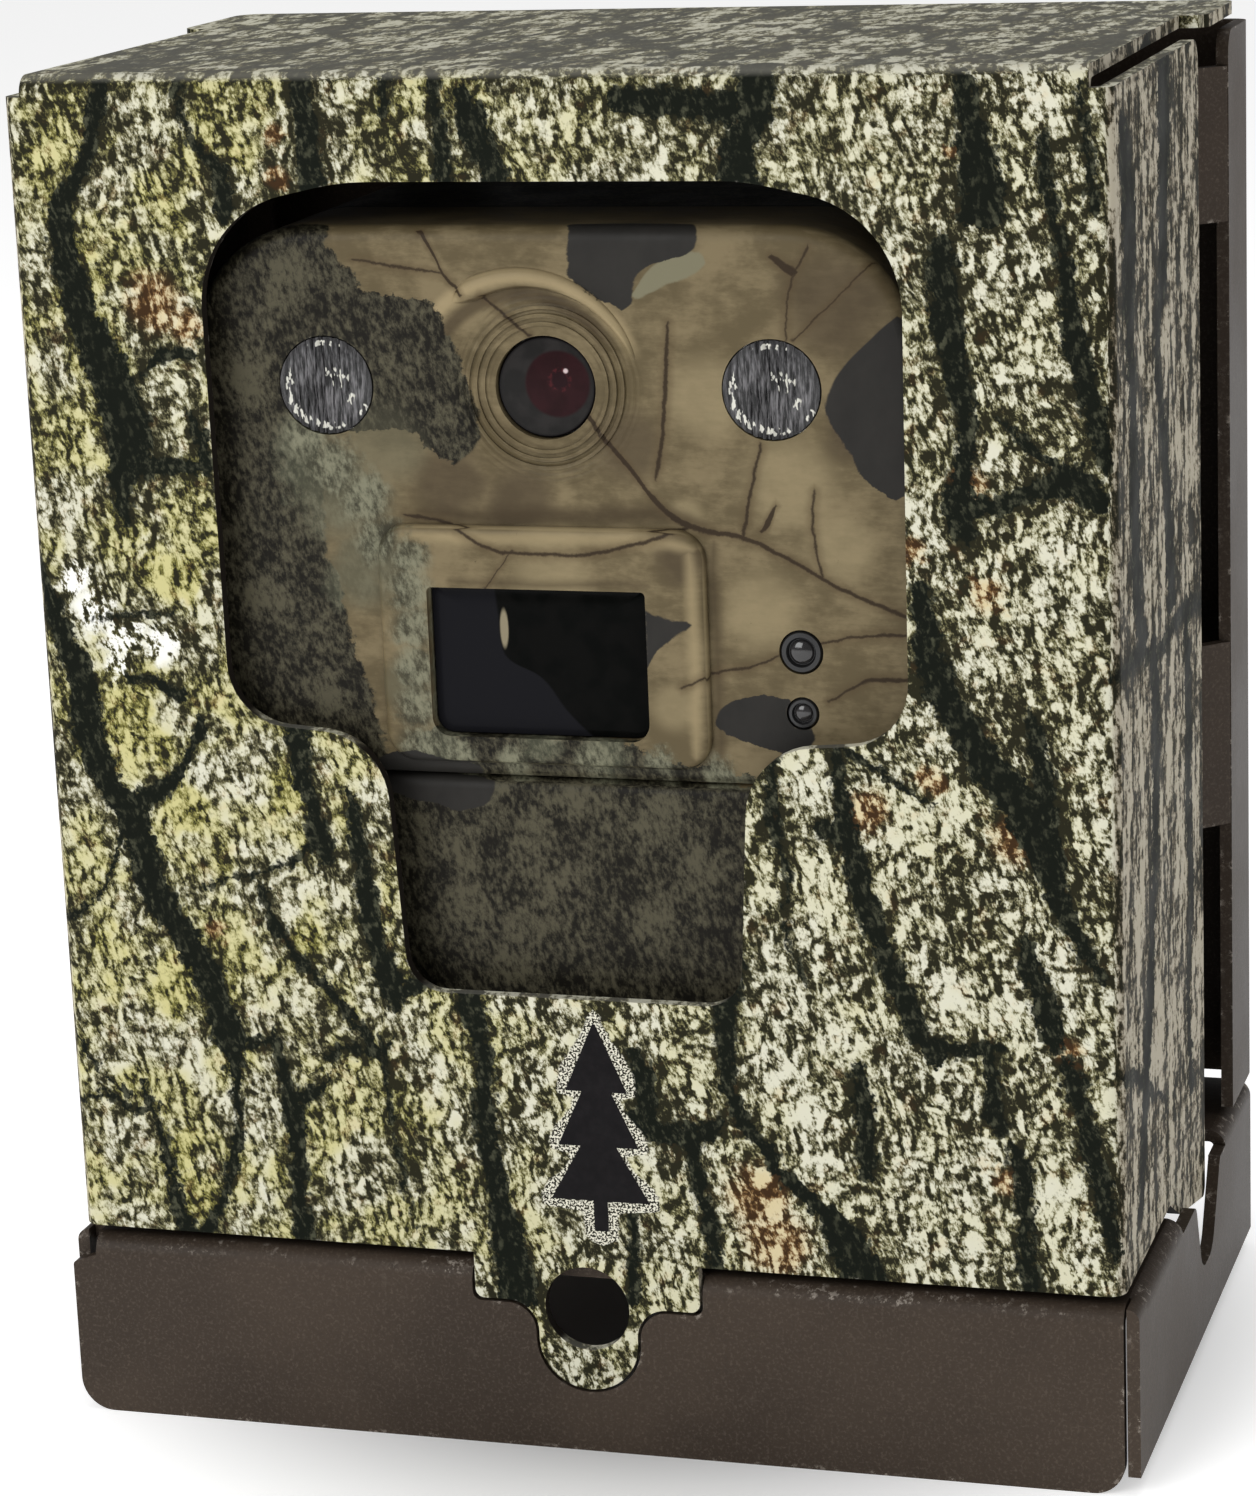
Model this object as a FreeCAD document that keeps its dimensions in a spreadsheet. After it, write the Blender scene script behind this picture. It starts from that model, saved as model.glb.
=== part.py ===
"""A trail camera standing in its folded steel lock box, as a parametric FreeCAD document.

Lengths are in millimetres. Inside each sub-part, X runs across the box from its middle, Y runs
back from the cover's front face, and Z runs up from the cover's bottom edge. Each sub-part's
Placement then moves it to the part's own frame, whose origin is on the ground under the middle.
"""
import FreeCAD, Part
import Sketcher
import math
import os

doc = FreeCAD.newDocument("trail_camera_box")
sheet = doc.addObject("Spreadsheet::Sheet", "dims")
sub_parts = []


class Length:
    """A length, with the spreadsheet formula that gives it."""

    def __init__(self, number, formula=None):
        self.number = float(number)
        self.formula = formula or f"({self.number})"

    def __float__(self):
        return self.number

    def __neg__(self):
        return Length(-self.number, f"(-1 * {self.formula})")

    def __add__(self, other):
        other = as_length(other)
        return Length(self.number + other.number, f"({self.formula} + {other.formula})")

    def __sub__(self, other):
        other = as_length(other)
        return Length(self.number - other.number, f"({self.formula} - {other.formula})")

    def __mul__(self, other):
        other = as_length(other)
        return Length(self.number * other.number, f"({self.formula} * {other.formula})")

    def __truediv__(self, other):
        other = as_length(other)
        return Length(self.number / other.number, f"({self.formula} / {other.formula})")

    def __radd__(self, other):
        return as_length(other) + self

    def __rsub__(self, other):
        return as_length(other) - self

    def __rmul__(self, other):
        return as_length(other) * self


def as_length(value):
    return value if isinstance(value, Length) else Length(value)


def dimension(name, number):
    """One row of the sheet: the name, the number, and the alias that formulas use."""
    row = dimension.rows = dimension.rows + 1
    sheet.set(f"A{row}", name)
    sheet.set(f"B{row}", str(number))
    sheet.setAlias(f"B{row}", name)
    return Length(number, f"dims.{name}")


dimension.rows = 0

# The steel box: a front cover over a rear frame with a shelf.
cover_wide = dimension("cover_wide", 137)
cover_tall = dimension("cover_tall", 148.5)
cover_deep = dimension("cover_deep", 59.8)
steel = dimension("steel", 1.6)
bend = dimension("bend_outer", 2.3)
bend_inner = dimension("bend_inner", 0.7)
top_deep = dimension("top_deep", 83.5)
ear_wide = dimension("ear_wide", 139)
corner_slot = dimension("corner_slot", 2.6)
frame_wide = dimension("frame_wide", 140.6)
frame_deep = dimension("frame_deep", 89.6)
frame_tall = dimension("frame_tall", 145.5)
shelf_drop = dimension("shelf_drop", 1.5)
skirt_drop = dimension("skirt_drop", 25.9)
side_drop = dimension("side_drop", 23.4)
foot_half = dimension("foot_half", 44)
window_half = dimension("window_half", 43.8)
window_shoulder = dimension("window_shoulder", 43.3)
window_narrow = dimension("window_narrow", 23.3)
window_foot = dimension("window_foot", 21.5)
window_top = dimension("window_top", 135.5)
window_waist = dimension("window_waist", 68.4)
window_sill = dimension("window_sill", 34.3)
toe_front = dimension("toe_front", 32.5)
toe_drop = dimension("toe_drop", 8.5)
throat_front = dimension("throat_front", 31.8)
throat_rear = dimension("throat_rear", 66)
throat_drop = dimension("throat_drop", 14.2)
throat_inside = dimension("throat_inside", 62)
flange_front = dimension("flange_front", 72.6)
frame_tab_reach = dimension("frame_tab_reach", 46)
frame_tab_step = dimension("frame_tab_step", 3.8)
tree_screw_across = dimension("tree_screw_across", 35)
tree_screw_radius = dimension("tree_screw_radius", 3.6)
lock_radius = dimension("lock_radius", 5.55)
lock_drop = dimension("lock_drop", 6.6)
tab_half = dimension("tab_half", 14.8)
tab_shoulder = dimension("tab_shoulder", 6.1)
tab_drop = dimension("tab_drop", 17.5)
lobe_half = dimension("lobe_half", 6.5)
seam = dimension("seam", 0.4)
tongue_half = dimension("tongue_half", 8)
tongue_across = dimension("tongue_across", 40)
tongue_top = dimension("tongue_top", 139.5)
tongue_riser = dimension("tongue_riser", 80)
tongue_gap = dimension("tongue_gap", 1)
decal_thick = dimension("decal_thick", 0.1)
decal_middle = dimension("decal_middle", 2.4)
decal_base = dimension("decal_base", 4)
decal_trunk = dimension("decal_trunk", 4)
decal_tier = dimension("decal_tier", 7.2)

# The camera's case.
case_shift = dimension("case_shift", -1.8)
case_wide = dimension("case_wide", 92)
case_top = dimension("case_top", 129.5)
case_seam = dimension("case_seam", 61)
case_front = dimension("case_front", 5)
case_split = dimension("case_split", 24)
case_back = dimension("case_back", 70)
case_wall = dimension("case_wall", 2.4)
face_wall = dimension("face_wall", 2.6)
gasket_thick = dimension("gasket_thick", 0.8)
crown = dimension("crown_radius", 16)
case_foot = dimension("case_foot_radius", 5)
lens_high = dimension("lens_high", 110)
lens_radius = dimension("lens_radius", 6.2)
flood_apart = dimension("flood_apart", 28.2)
motion_across = dimension("motion_across", -3.9)
motion_high = dimension("motion_high", 75.9)
motion_wide = dimension("motion_wide", 28)
motion_tall = dimension("motion_tall", 18.8)
hood_wide = dimension("hood_wide", 42)
hood_top = dimension("hood_top", 93)
hood_bottom = dimension("hood_bottom", 63)
hood_middle = dimension("hood_middle", -3.3)
hood_out = dimension("hood_out", 1.4)
brow_reach = dimension("brow_reach", 8.4)
brow_thick = dimension("brow_thick", 1.3)
sensor_across = dimension("sensor_across", 29.1)
light_sensor_high = dimension("light_sensor_high", 78.1)
light_sensor_radius = dimension("light_sensor_radius", 2.6)
indicator_high = dimension("indicator_high", 70.5)
indicator_radius = dimension("indicator_radius", 1.9)
door_gap = dimension("door_gap", 0.3)
door_setback = dimension("door_setback", 1.2)
hinge_out = dimension("hinge_out", 2.2)
knuckle_radius = dimension("knuckle_radius", 2)
hinge_bore = dimension("hinge_bore", 1.25)
hinge_pin_radius = dimension("hinge_pin_radius", 1.2)
knob_inset = dimension("knob_inset", 9)
knob_high = dimension("knob_high", 28)
knob_radius = dimension("knob_radius", 5.5)
shaft_radius = dimension("shaft_radius", 2)
cell_radius = dimension("cell_radius", 7.1)
cell_long = dimension("cell_long", 50.5)
cell_apart = dimension("cell_apart", 14.5)
tray_wall = dimension("tray_wall", 1.5)
tray_front = dimension("tray_front", 30.5)
tray_rear = dimension("tray_rear", 61.5)
tray_tall = dimension("tray_tall", 56)
spring_tall = dimension("spring_tall", 1.6)
board_front = dimension("board_front", 44)
board_thick = dimension("board_thick", 1.6)
insert_high = dimension("insert_high", 66)
insert_radius = dimension("insert_radius", 4.2)
panel_front = dimension("panel_front", 34)
panel_thick = dimension("panel_thick", 2)
button_apart = dimension("button_apart", 7.6)
button_radius = dimension("button_radius", 2.8)
fit_gap = dimension("fit_gap", 0.15)
doc.recompute()

half_cover = cover_wide / 2
half_frame = frame_wide / 2
plate_front = frame_deep - steel
case_left = case_shift - case_wide / 2
case_right = case_shift + case_wide / 2


def bind(item, prop, value):
    item.setExpression(prop, as_length(value).formula)


def finish(item, name):
    """Name a sub-part and put it in the part's own frame."""
    item.Label = name
    own_place = {path.lstrip("."): formula for path, formula in item.ExpressionEngine}
    shifts = {"Placement.Base.y": (decal_thick - frame_deep) / 2, "Placement.Base.z": skirt_drop}
    for prop, shift in shifts.items():
        own = own_place.get(prop, "0")
        item.setExpression(prop, f"{own} + {shift.formula}")
    sub_parts.append(item)
    return item


def new_body(name):
    return finish(doc.addObject("PartDesign::Body", name), name)


def pin_point(sketch, geometry, position, u, v):
    """Dimension one point of a sketch from the sketch's origin."""
    for kind, value in (("DistanceX", u), ("DistanceY", v)):
        value = as_length(value)
        at = sketch.addConstraint(Sketcher.Constraint(kind, -1, 1, geometry, position, value.number))
        sketch.setExpression(f"Constraints[{at}]", value.formula)


def pin_radius(sketch, geometry, radius):
    radius = as_length(radius)
    at = sketch.addConstraint(Sketcher.Constraint("Radius", geometry, radius.number))
    sketch.setExpression(f"Constraints[{at}]", radius.formula)


def draw_circle(sketch, u, v, radius):
    centre = FreeCAD.Vector(float(u), float(v), 0)
    ring = sketch.addGeometry(Part.Circle(centre, FreeCAD.Vector(0, 0, 1), float(radius)))
    pin_point(sketch, ring, 3, u, v)
    pin_radius(sketch, ring, radius)


def draw_outline(sketch, corners):
    """A closed outline through corners (u, v), each rounded where it is (u, v, radius)."""
    count = len(corners)
    points = [FreeCAD.Vector(float(c[0]), float(c[1]), 0) for c in corners]
    starts, ends, centres = [], [], []
    for i, corner in enumerate(corners):
        back = (points[i - 1] - points[i]).normalize()
        ahead = (points[(i + 1) % count] - points[i]).normalize()
        radius = float(corner[2]) if len(corner) > 2 else 0
        half = back.getAngle(ahead) / 2
        starts.append(points[i] + back * (radius / math.tan(half)))
        ends.append(points[i] + ahead * (radius / math.tan(half)))
        centres.append(points[i] + (back + ahead).normalize() * (radius / math.sin(half))
                       if radius else points[i])
    lines = [sketch.addGeometry(Part.LineSegment(ends[i], starts[(i + 1) % count]))
             for i in range(count)]
    for i, corner in enumerate(corners):
        before, after = lines[i - 1], lines[i]
        if len(corner) == 2:
            sketch.addConstraint(Sketcher.Constraint("Coincident", before, 2, after, 1))
            pin_point(sketch, after, 1, *corner)
            continue
        turn = (points[i] - points[i - 1]).cross(points[(i + 1) % count] - points[i]).z
        first, last = (starts[i], ends[i]) if turn > 0 else (ends[i], starts[i])
        angles = [math.atan2((p - centres[i]).y, (p - centres[i]).x) for p in (first, last)]
        circle = Part.Circle(centres[i], FreeCAD.Vector(0, 0, 1), float(corner[2]))
        arc = sketch.addGeometry(Part.ArcOfCircle(circle, *angles))
        tip = sketch.addGeometry(Part.Point(points[i]), True)
        entry, leave = (1, 2) if turn > 0 else (2, 1)
        sketch.addConstraint(Sketcher.Constraint("Tangent", before, 2, arc, entry))
        sketch.addConstraint(Sketcher.Constraint("Tangent", arc, leave, after, 1))
        sketch.addConstraint(Sketcher.Constraint("PointOnObject", tip, 1, before))
        sketch.addConstraint(Sketcher.Constraint("PointOnObject", tip, 1, after))
        pin_point(sketch, tip, 1, corner[0], corner[1])
        pin_radius(sketch, arc, corner[2])


def prism(body, plane, low, high, *loops, cut=False):
    """Add or cut a prism with straight sides, from low to high along the plane's axis.

    The plane is XY, XZ or YZ. A loop is a list of corners, or a tuple (u, v, radius) for a circle.
    """
    sketch = body.newObject("Sketcher::SketchObject", f"{body.Label}_sketch")
    role = f"{plane}_Plane"
    support = [item for item in body.Origin.OriginFeatures if item.Role == role][0]
    sketch.AttachmentSupport = [(support, "")]
    sketch.MapMode = "FlatFace"
    low, high = as_length(low), as_length(high)
    bind(sketch, "AttachmentOffset.Base.z", -high if plane == "XZ" else low)
    for loop in loops:
        if isinstance(loop, tuple):
            draw_circle(sketch, *loop)
        else:
            draw_outline(sketch, loop)
    kind = "PartDesign::Pocket" if cut else "PartDesign::Pad"
    feature = body.newObject(kind, f"{body.Label}_{'cut' if cut else 'pad'}")
    feature.Profile = sketch
    bind(feature, "Length", high - low)
    feature.Reversed = cut
    sketch.Visibility = False
    return feature


def cut_prism(body, plane, low, high, *loops):
    return prism(body, plane, low, high, *loops, cut=True)


def box_loop(u_low, u_high, v_low, v_high, radius=None):
    corners = [(u_low, v_low), (u_high, v_low), (u_high, v_high), (u_low, v_high)]
    return [corner + (radius,) for corner in corners] if radius else corners


def mirrored(corners):
    """The same corners on the other side of the middle, in the order that closes the outline."""
    return [(-corner[0],) + tuple(corner[1:]) for corner in reversed(corners)]


def both_sides(corners):
    """An outline whose right half is given from the bottom up, and whose left half mirrors it."""
    return corners + mirrored(corners)


def round_edges(body, radius, test, kind="Fillet"):
    """Fillet or chamfer the edges of the body so far that pass the test."""
    doc.recompute()
    tip = body.Tip
    names = [f"Edge{i + 1}" for i, edge in enumerate(tip.Shape.Edges) if test(edge.BoundBox)]
    feature = body.newObject(f"PartDesign::{kind}", f"{body.Label}_{kind.lower()}")
    feature.Base = (tip, names)
    bind(feature, "Radius" if kind == "Fillet" else "Size", radius)
    return feature


def near(value, target):
    return abs(value - float(target)) < 0.01


def rod(name, x, low, high, z, radius, far_radius=None):
    """A round piece along Y, from low to high, with its own far radius where it is a cone."""
    low, high = as_length(low), as_length(high)
    if far_radius is None:
        item = doc.addObject("Part::Cylinder", name)
        bind(item, "Radius", radius)
    else:
        item = doc.addObject("Part::Cone", name)
        bind(item, "Radius1", radius)
        bind(item, "Radius2", far_radius)
    item.Placement = FreeCAD.Placement(FreeCAD.Vector(), FreeCAD.Rotation(FreeCAD.Vector(1, 0, 0), -90))
    bind(item, "Height", high - low)
    bind(item, "Placement.Base.x", x)
    bind(item, "Placement.Base.y", low)
    bind(item, "Placement.Base.z", z)
    return item


def block(name, x_low, x_high, y_low, y_high, z_low, z_high):
    item = doc.addObject("Part::Box", name)
    spans = ((x_low, x_high, "Length", "x"), (y_low, y_high, "Width", "y"), (z_low, z_high, "Height", "z"))
    for low, high, prop, axis in spans:
        bind(item, prop, as_length(high) - low)
        bind(item, f"Placement.Base.{axis}", low)
    return item


def post(name, x, y, low, high, radius):
    """A round piece along Z, from low to high."""
    item = doc.addObject("Part::Cylinder", name)
    bind(item, "Radius", radius)
    bind(item, "Height", as_length(high) - low)
    bind(item, "Placement.Base.x", x)
    bind(item, "Placement.Base.y", y)
    bind(item, "Placement.Base.z", low)
    return item


def fuse(name, items):
    joined = doc.addObject("Part::MultiFuse", name)
    joined.Shapes = items
    return joined


def cut(name, base, tool):
    less = doc.addObject("Part::Cut", name)
    less.Base = base
    less.Tool = tool
    return less


def group(name, items):
    """Identical separate pieces that share one sub-part."""
    together = doc.addObject("Part::Compound", name)
    together.Links = items
    return finish(together, name)


# ---------------------------------------------------------------- the lock box

def tab_outline(spare):
    """The cover's lock tab from its root to its round end, grown by the spare all round."""
    lobe = lobe_half + spare
    return [(lobe, -tab_drop - spare, lobe - 0.1), (lobe, -tab_shoulder - spare, 4 - spare),
            (tab_half + spare, -tab_shoulder - spare, 1.2)]


def window_outline():
    """The cover's window: wide with clipped corners above, narrow below."""
    right = [(window_foot, window_sill, 5), (window_narrow, window_waist - 1.5, 9),
             (window_shoulder, window_waist, 8), (window_half, window_top - 4, 14),
             (window_half - 19, window_top, 30)]
    return both_sides(right)


def make_cover():
    body = new_body("front_cover")
    inner = half_cover - steel
    slot_side = half_cover - corner_slot
    slot_top = cover_tall - corner_slot
    fold_low = slot_top - 9
    ear_root, ear_front = slot_side - 4, cover_deep + 1.2
    walls = [(half_cover, cover_deep), (inner, cover_deep), (inner, steel, bend_inner),
             (-inner, steel, bend_inner), (-inner, cover_deep), (-half_cover, cover_deep),
             (-half_cover, 0, bend), (half_cover, 0, bend)]
    prism(body, "XY", 0, slot_top, walls)
    fold = [(0, fold_low), (steel, fold_low), (steel, cover_tall - steel, bend_inner),
            (top_deep, cover_tall - steel), (top_deep, cover_tall), (0, cover_tall, bend)]
    prism(body, "YZ", -slot_side, slot_side, fold)
    half_ear = ear_wide / 2
    ear = [(ear_root, ear_front), (half_ear, ear_front, 2.5), (half_ear, top_deep, 3), (ear_root, top_deep)]
    for side in (ear, mirrored(ear)):
        prism(body, "XY", cover_tall - steel, cover_tall, side)
    prism(body, "XZ", 0, steel, both_sides(tab_outline(Length(0)) + [(tab_half, 6)]))
    toe = [(toe_front, 0), (toe_front + 7.5, -4, 6), (cover_deep, -toe_drop, 1.5), (cover_deep, 6),
           (toe_front, 6)]
    for low in (inner, -half_cover):
        prism(body, "YZ", low, low + steel, toe)
    drop = tongue_top - steel
    tip, tip_round = frame_deep - 0.4, steel / 2 - 0.01
    root = tongue_riser - 3
    sunk = cover_tall - 0.3
    for middle in (-tongue_across, tongue_across):
        step = [(root, cover_tall - steel), (tongue_riser, cover_tall - steel, bend_inner),
                (tongue_riser, drop, bend), (tip, drop, tip_round), (tip, tongue_top, tip_round),
                (tongue_riser + steel, tongue_top, bend_inner), (tongue_riser + steel, sunk), (root, sunk)]
        prism(body, "YZ", middle - tongue_half, middle + tongue_half, step)
    cut_prism(body, "XZ", -1, 3, window_outline())
    cut_prism(body, "XZ", -1, 3, (Length(0), -lock_drop, lock_radius))
    round_edges(body, 3.5, lambda b: near(b.XLength, steel)
                and near(b.YMin, cover_deep) and near(b.ZMax, slot_top) and near(b.ZMin, slot_top))
    return body


def make_decal():
    """A plain pine tree printed low on the cover: a trunk under three tiers."""
    body = new_body("tree_decal")
    trunk_half, tip_half, tip_rise, waist_share = 0.9, 0.15, 1.6, 0.36
    tiers_base = decal_base + decal_trunk
    right = [(decal_middle + trunk_half, decal_base), (decal_middle + trunk_half, tiers_base)]
    for level, half in enumerate((6.4, 5.2, 4.0)):
        low = tiers_base + level * decal_tier
        right += [(decal_middle + half, low), (decal_middle + half * waist_share, low + decal_tier)]
    right[-1] = (decal_middle + tip_half, tiers_base + 3 * decal_tier + tip_rise)
    left = [(2 * decal_middle - u, v) for u, v in reversed(right)]
    prism(body, "XZ", -decal_thick, 0, right + left)
    return body


def make_shelf():
    """The folded shelf under the cover: a front skirt with the tab's notch, and side skirts.

    The front skirt runs across the left side skirt's end and stops short of the right one's.
    """
    body = new_body("base_shelf")
    top, under = -shelf_drop, -shelf_drop - steel
    inside = half_frame - steel
    outer_bend, inner_bend = bend + 0.4, bend_inner + 0.4
    skirt_top = top - outer_bend
    sunk = skirt_top - 1
    fold_left, fold_right = -half_frame + 3.3, inside - seam
    fold = [(plate_front, top), (0, top, outer_bend), (0, sunk), (steel, sunk),
            (steel, under, inner_bend), (plate_front, under)]
    prism(body, "YZ", fold_left, fold_right, fold)
    skirt = [(-half_frame, -skirt_drop, 4.4), (fold_right, -skirt_drop, 4), (fold_right, skirt_top),
             (fold_left, skirt_top), (-half_frame, skirt_top - 1.2, 0.6)]
    prism(body, "XZ", 0, steel, skirt)
    sides = [(half_frame, -side_drop), (half_frame, top, bend), (-half_frame, top, bend),
             (-half_frame, -side_drop), (-inside, -side_drop), (-inside, under, bend_inner),
             (inside, under, bend_inner), (inside, -side_drop)]
    sides_front, cheek_rear = 4, 5
    prism(body, "XZ", sides_front, plate_front, sides)
    cheek = [(inside, -side_drop), (half_frame, -side_drop), (half_frame, top, steel - 0.05),
             (inside, top)]
    prism(body, "XZ", 0, cheek_rear, cheek)
    prism(body, "XZ", steel + seam, cheek_rear, mirrored(cheek))
    back_lip = box_loop(-foot_half, foot_half, -skirt_drop + 6, under + 0.2)
    prism(body, "XZ", plate_front - steel, plate_front, back_lip)
    notch = both_sides(tab_outline(seam) + [(tab_half + seam, 3)])
    cut_prism(body, "XZ", -1, steel + 0.6, notch)
    low = -throat_drop
    throat = [(throat_front, 1), (throat_front, -2.8), (42, -3.4, 2.5), (46.5, low, 4.5),
              (54.8, low, 4.5), (throat_rear - 4.5, -3.2, 3), (throat_rear, -2), (throat_rear, 1)]
    for left in (throat_inside, -half_frame - 2):
        cut_prism(body, "YZ", left, left + 10, throat)
    shelf_cut = box_loop(throat_inside, half_frame + 2, throat_front, throat_rear, 1.5)
    for loop in (shelf_cut, mirrored(shelf_cut)):
        cut_prism(body, "XY", under - 0.4, 1, loop)
    return body


def joggled_tab(side):
    """A frame tab seen from above: it steps inward and runs forward inside the cover's wall."""
    step, turn = frame_tab_step, 1.2
    root = flange_front + 2
    near_bend, far_bend = flange_front, flange_front - step
    outer, inner = half_frame - step, half_frame - step - steel
    corners = [(half_frame, root), (half_frame, near_bend, turn), (outer, far_bend, turn),
               (outer, frame_tab_reach), (inner, frame_tab_reach), (inner, far_bend + bend_inner, turn),
               (half_frame - steel, near_bend + bend_inner, turn), (half_frame - steel, root)]
    return corners if side > 0 else mirrored(corners)


def make_back_frame():
    """The rear plate with forward flanges, four inner tabs, hook slots and tree screw holes."""
    body = new_body("back_frame")
    inside = half_frame - steel
    lip = -shelf_drop + 1.2
    section = [(half_frame, flange_front), (half_frame, frame_deep, bend),
               (-half_frame, frame_deep, bend), (-half_frame, flange_front),
               (-inside, flange_front), (-inside, plate_front, bend_inner), (inside, plate_front, bend_inner),
               (inside, flange_front)]
    prism(body, "XY", lip, frame_tall, section)
    foot = [(foot_half, -skirt_drop, 3), (foot_half, lip + 1), (-foot_half, lip + 1),
            (-foot_half, -skirt_drop, 3)]
    prism(body, "XZ", plate_front, frame_deep, foot)
    for side, low, high in ((1, 40, 65), (1, 121, 141), (-1, 40, 65), (-1, 104, 141)):
        prism(body, "XY", low, high, joggled_tab(side))
    slot_low, slot_high = tongue_top - steel - tongue_gap / 2, tongue_top + 3.5
    half_slot = tongue_half + tongue_gap
    for middle in (-tongue_across, tongue_across):
        slot = box_loop(middle - half_slot, middle + half_slot, slot_low, slot_high, 0.4)
        cut_prism(body, "XZ", plate_front - 1, frame_deep + 1, slot)
    screw_low, screw_high = Length(18), Length(118)
    holes = [(x, z, tree_screw_radius)
             for x in (-tree_screw_across, tree_screw_across) for z in (screw_low, screw_high)]
    cut_prism(body, "XZ", plate_front - 1, frame_deep + 1, *holes)
    round_edges(body, 3, lambda b: near(b.XLength, steel) and near(b.YLength, 0)
                and near(b.ZMax, frame_tall) and near(b.YMin, flange_front))
    return body


# ---------------------------------------------------------------- the camera's case

def case_outline(low, high, inset, top_radius, low_radius):
    left, right = case_left + inset, case_right - inset
    return [(left, low, low_radius), (right, low, low_radius), (right, high, top_radius),
            (left, high, top_radius)]


def make_rear_case():
    """The rear shell: two bays, a lug for the strap at each side, and the tripod boss."""
    body = new_body("rear_case")
    floor = -shelf_drop
    prism(body, "XZ", case_split, case_back, case_outline(floor, case_top, 0, crown, case_foot))
    round_edges(body, 2.5, lambda b: near(b.YMax, case_back) and near(b.YMin, case_back))
    wall = case_wall
    upper = case_outline(case_seam + 1.2, case_top - wall, wall, crown - wall, 2)
    lower = case_outline(floor + wall, case_seam - 1.2, wall, 2, case_foot - wall)
    for bay in (upper, lower):
        cut_prism(body, "XZ", case_split - 1, case_back - wall, bay)
    half_boss, half_lug, lug_apart = 12, 4, 27
    boss = box_loop(case_shift - half_boss, case_shift + half_boss,
                    insert_high - half_boss, insert_high + half_boss, 5)
    prism(body, "XZ", case_back - 1, plate_front, boss)
    for middle in (case_shift - lug_apart, case_shift + lug_apart):
        lug = box_loop(middle - half_lug, middle + half_lug, 30, 102, 3)
        prism(body, "XZ", case_back - 1, plate_front, lug)
    strap_tall = 16
    for low in (34, 82):
        strap_pass = box_loop(case_back + 3, plate_front - 3.5, low, low + strap_tall, 2)
        cut_prism(body, "YZ", case_left, case_right, strap_pass)
    cut_prism(body, "XZ", plate_front - 14, frame_deep, (case_shift, insert_high, insert_radius))
    catch = box_loop(case_right - wall - 4, case_right - wall + 0.5, knob_high - 4, knob_high + 4)
    prism(body, "XZ", case_split + 2.2, case_split + 4, catch)
    for low, high in ((8, 16), (32, 40)):
        add_knuckle(body, low, high, case_split, case_split + 2)
    return body


def hinge_axis():
    return case_left - hinge_out, case_split - 0.1


def add_knuckle(body, low, high, lug_low, lug_high):
    """A hinge knuckle on the case's left side, with the lug that carries it."""
    x, y = hinge_axis()
    prism(body, "XY", low, high, (x, y, knuckle_radius))
    prism(body, "XY", low, high, box_loop(x, case_left + 0.3, lug_low, lug_high))
    cut_prism(body, "XY", low - 0.5, high + 0.5, (x, y, hinge_bore))


def make_front_case():
    """The upper front shell, with the lens, floodlight, motion and light sensor holes."""
    body = new_body("front_case")
    prism(body, "XZ", case_front, case_split - gasket_thick,
          case_outline(case_seam, case_top, 0, crown, 1.2))
    round_edges(body, 2, lambda b: near(b.YMin, case_front) and near(b.YMax, case_front))
    wall = case_wall
    hollow = case_outline(case_seam + wall, case_top - wall, wall, crown - wall, 1)
    cut_prism(body, "XZ", case_front + face_wall, case_split, hollow)
    hood = box_loop(hood_middle - hood_wide / 2, hood_middle + hood_wide / 2,
                    hood_bottom, hood_top, 4)
    hood_face = case_front - hood_out
    prism(body, "XZ", hood_face, case_front + 2.2, hood)
    round_edges(body, 1.1, lambda b: near(b.YMin, hood_face) and near(b.YMax, hood_face))
    for step in range(3):
        ring = lens_radius + 1.4 + step
        prism(body, "XZ", case_front - 0.3, case_front + 0.5,
              (case_shift, lens_high, ring + 0.45), (case_shift, lens_high, ring))
    lens_hole = (case_shift, lens_high, lens_radius + fit_gap)
    cut_prism(body, "XZ", case_front - 1, case_front + 3, lens_hole)
    for side in (-1, 1):
        hole = (case_shift + side * flood_apart, lens_high, lens_radius - 0.2 + fit_gap)
        cut_prism(body, "XZ", case_front - 1, case_front + 3, hole)
    half_wide, half_tall = motion_wide / 2, motion_tall / 2
    low_z, high_z = motion_high - half_tall, motion_high + half_tall
    opening = [(motion_across - half_wide, low_z, 2.4), (motion_across + half_wide, low_z, 2.4),
               (motion_across + half_wide, high_z, 0.6), (motion_across - half_wide, high_z, 0.6)]
    cut_prism(body, "XZ", case_front - 3, case_front + 3, opening)
    for high, radius in sensor_spots():
        spot = (sensor_across, high, radius + fit_gap)
        cut_prism(body, "XZ", case_front - 1, case_front + 3, spot)
    return body


def sensor_spots():
    """The light sensor above the indicator: each one's height and radius."""
    return (light_sensor_high, light_sensor_radius), (indicator_high, indicator_radius)


def make_brow():
    """The raised brow over the lens: part of a torus, half sunk into the front shell's face."""
    tilt = 20
    middle_x, middle_z = case_shift - 2.7, lens_high - 1.2
    ring = doc.addObject("Part::Torus", "brow_ring")
    bind(ring, "Radius1", lens_radius + brow_reach)
    bind(ring, "Radius2", brow_thick)
    ring.Angle3 = 104
    turn = FreeCAD.Rotation(FreeCAD.Vector(1, 0, 0), 90)
    turn = FreeCAD.Rotation(FreeCAD.Vector(0, 1, 0), -tilt) * turn
    ring.Placement = FreeCAD.Placement(FreeCAD.Vector(), turn)
    bind(ring, "Placement.Base.x", middle_x)
    bind(ring, "Placement.Base.y", case_front)
    bind(ring, "Placement.Base.z", middle_z)
    behind = block("brow_behind", -40, 40, case_front, case_front + 4, 80, 140)
    return finish(cut("lens_brow", ring, behind), "lens_brow")


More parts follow.
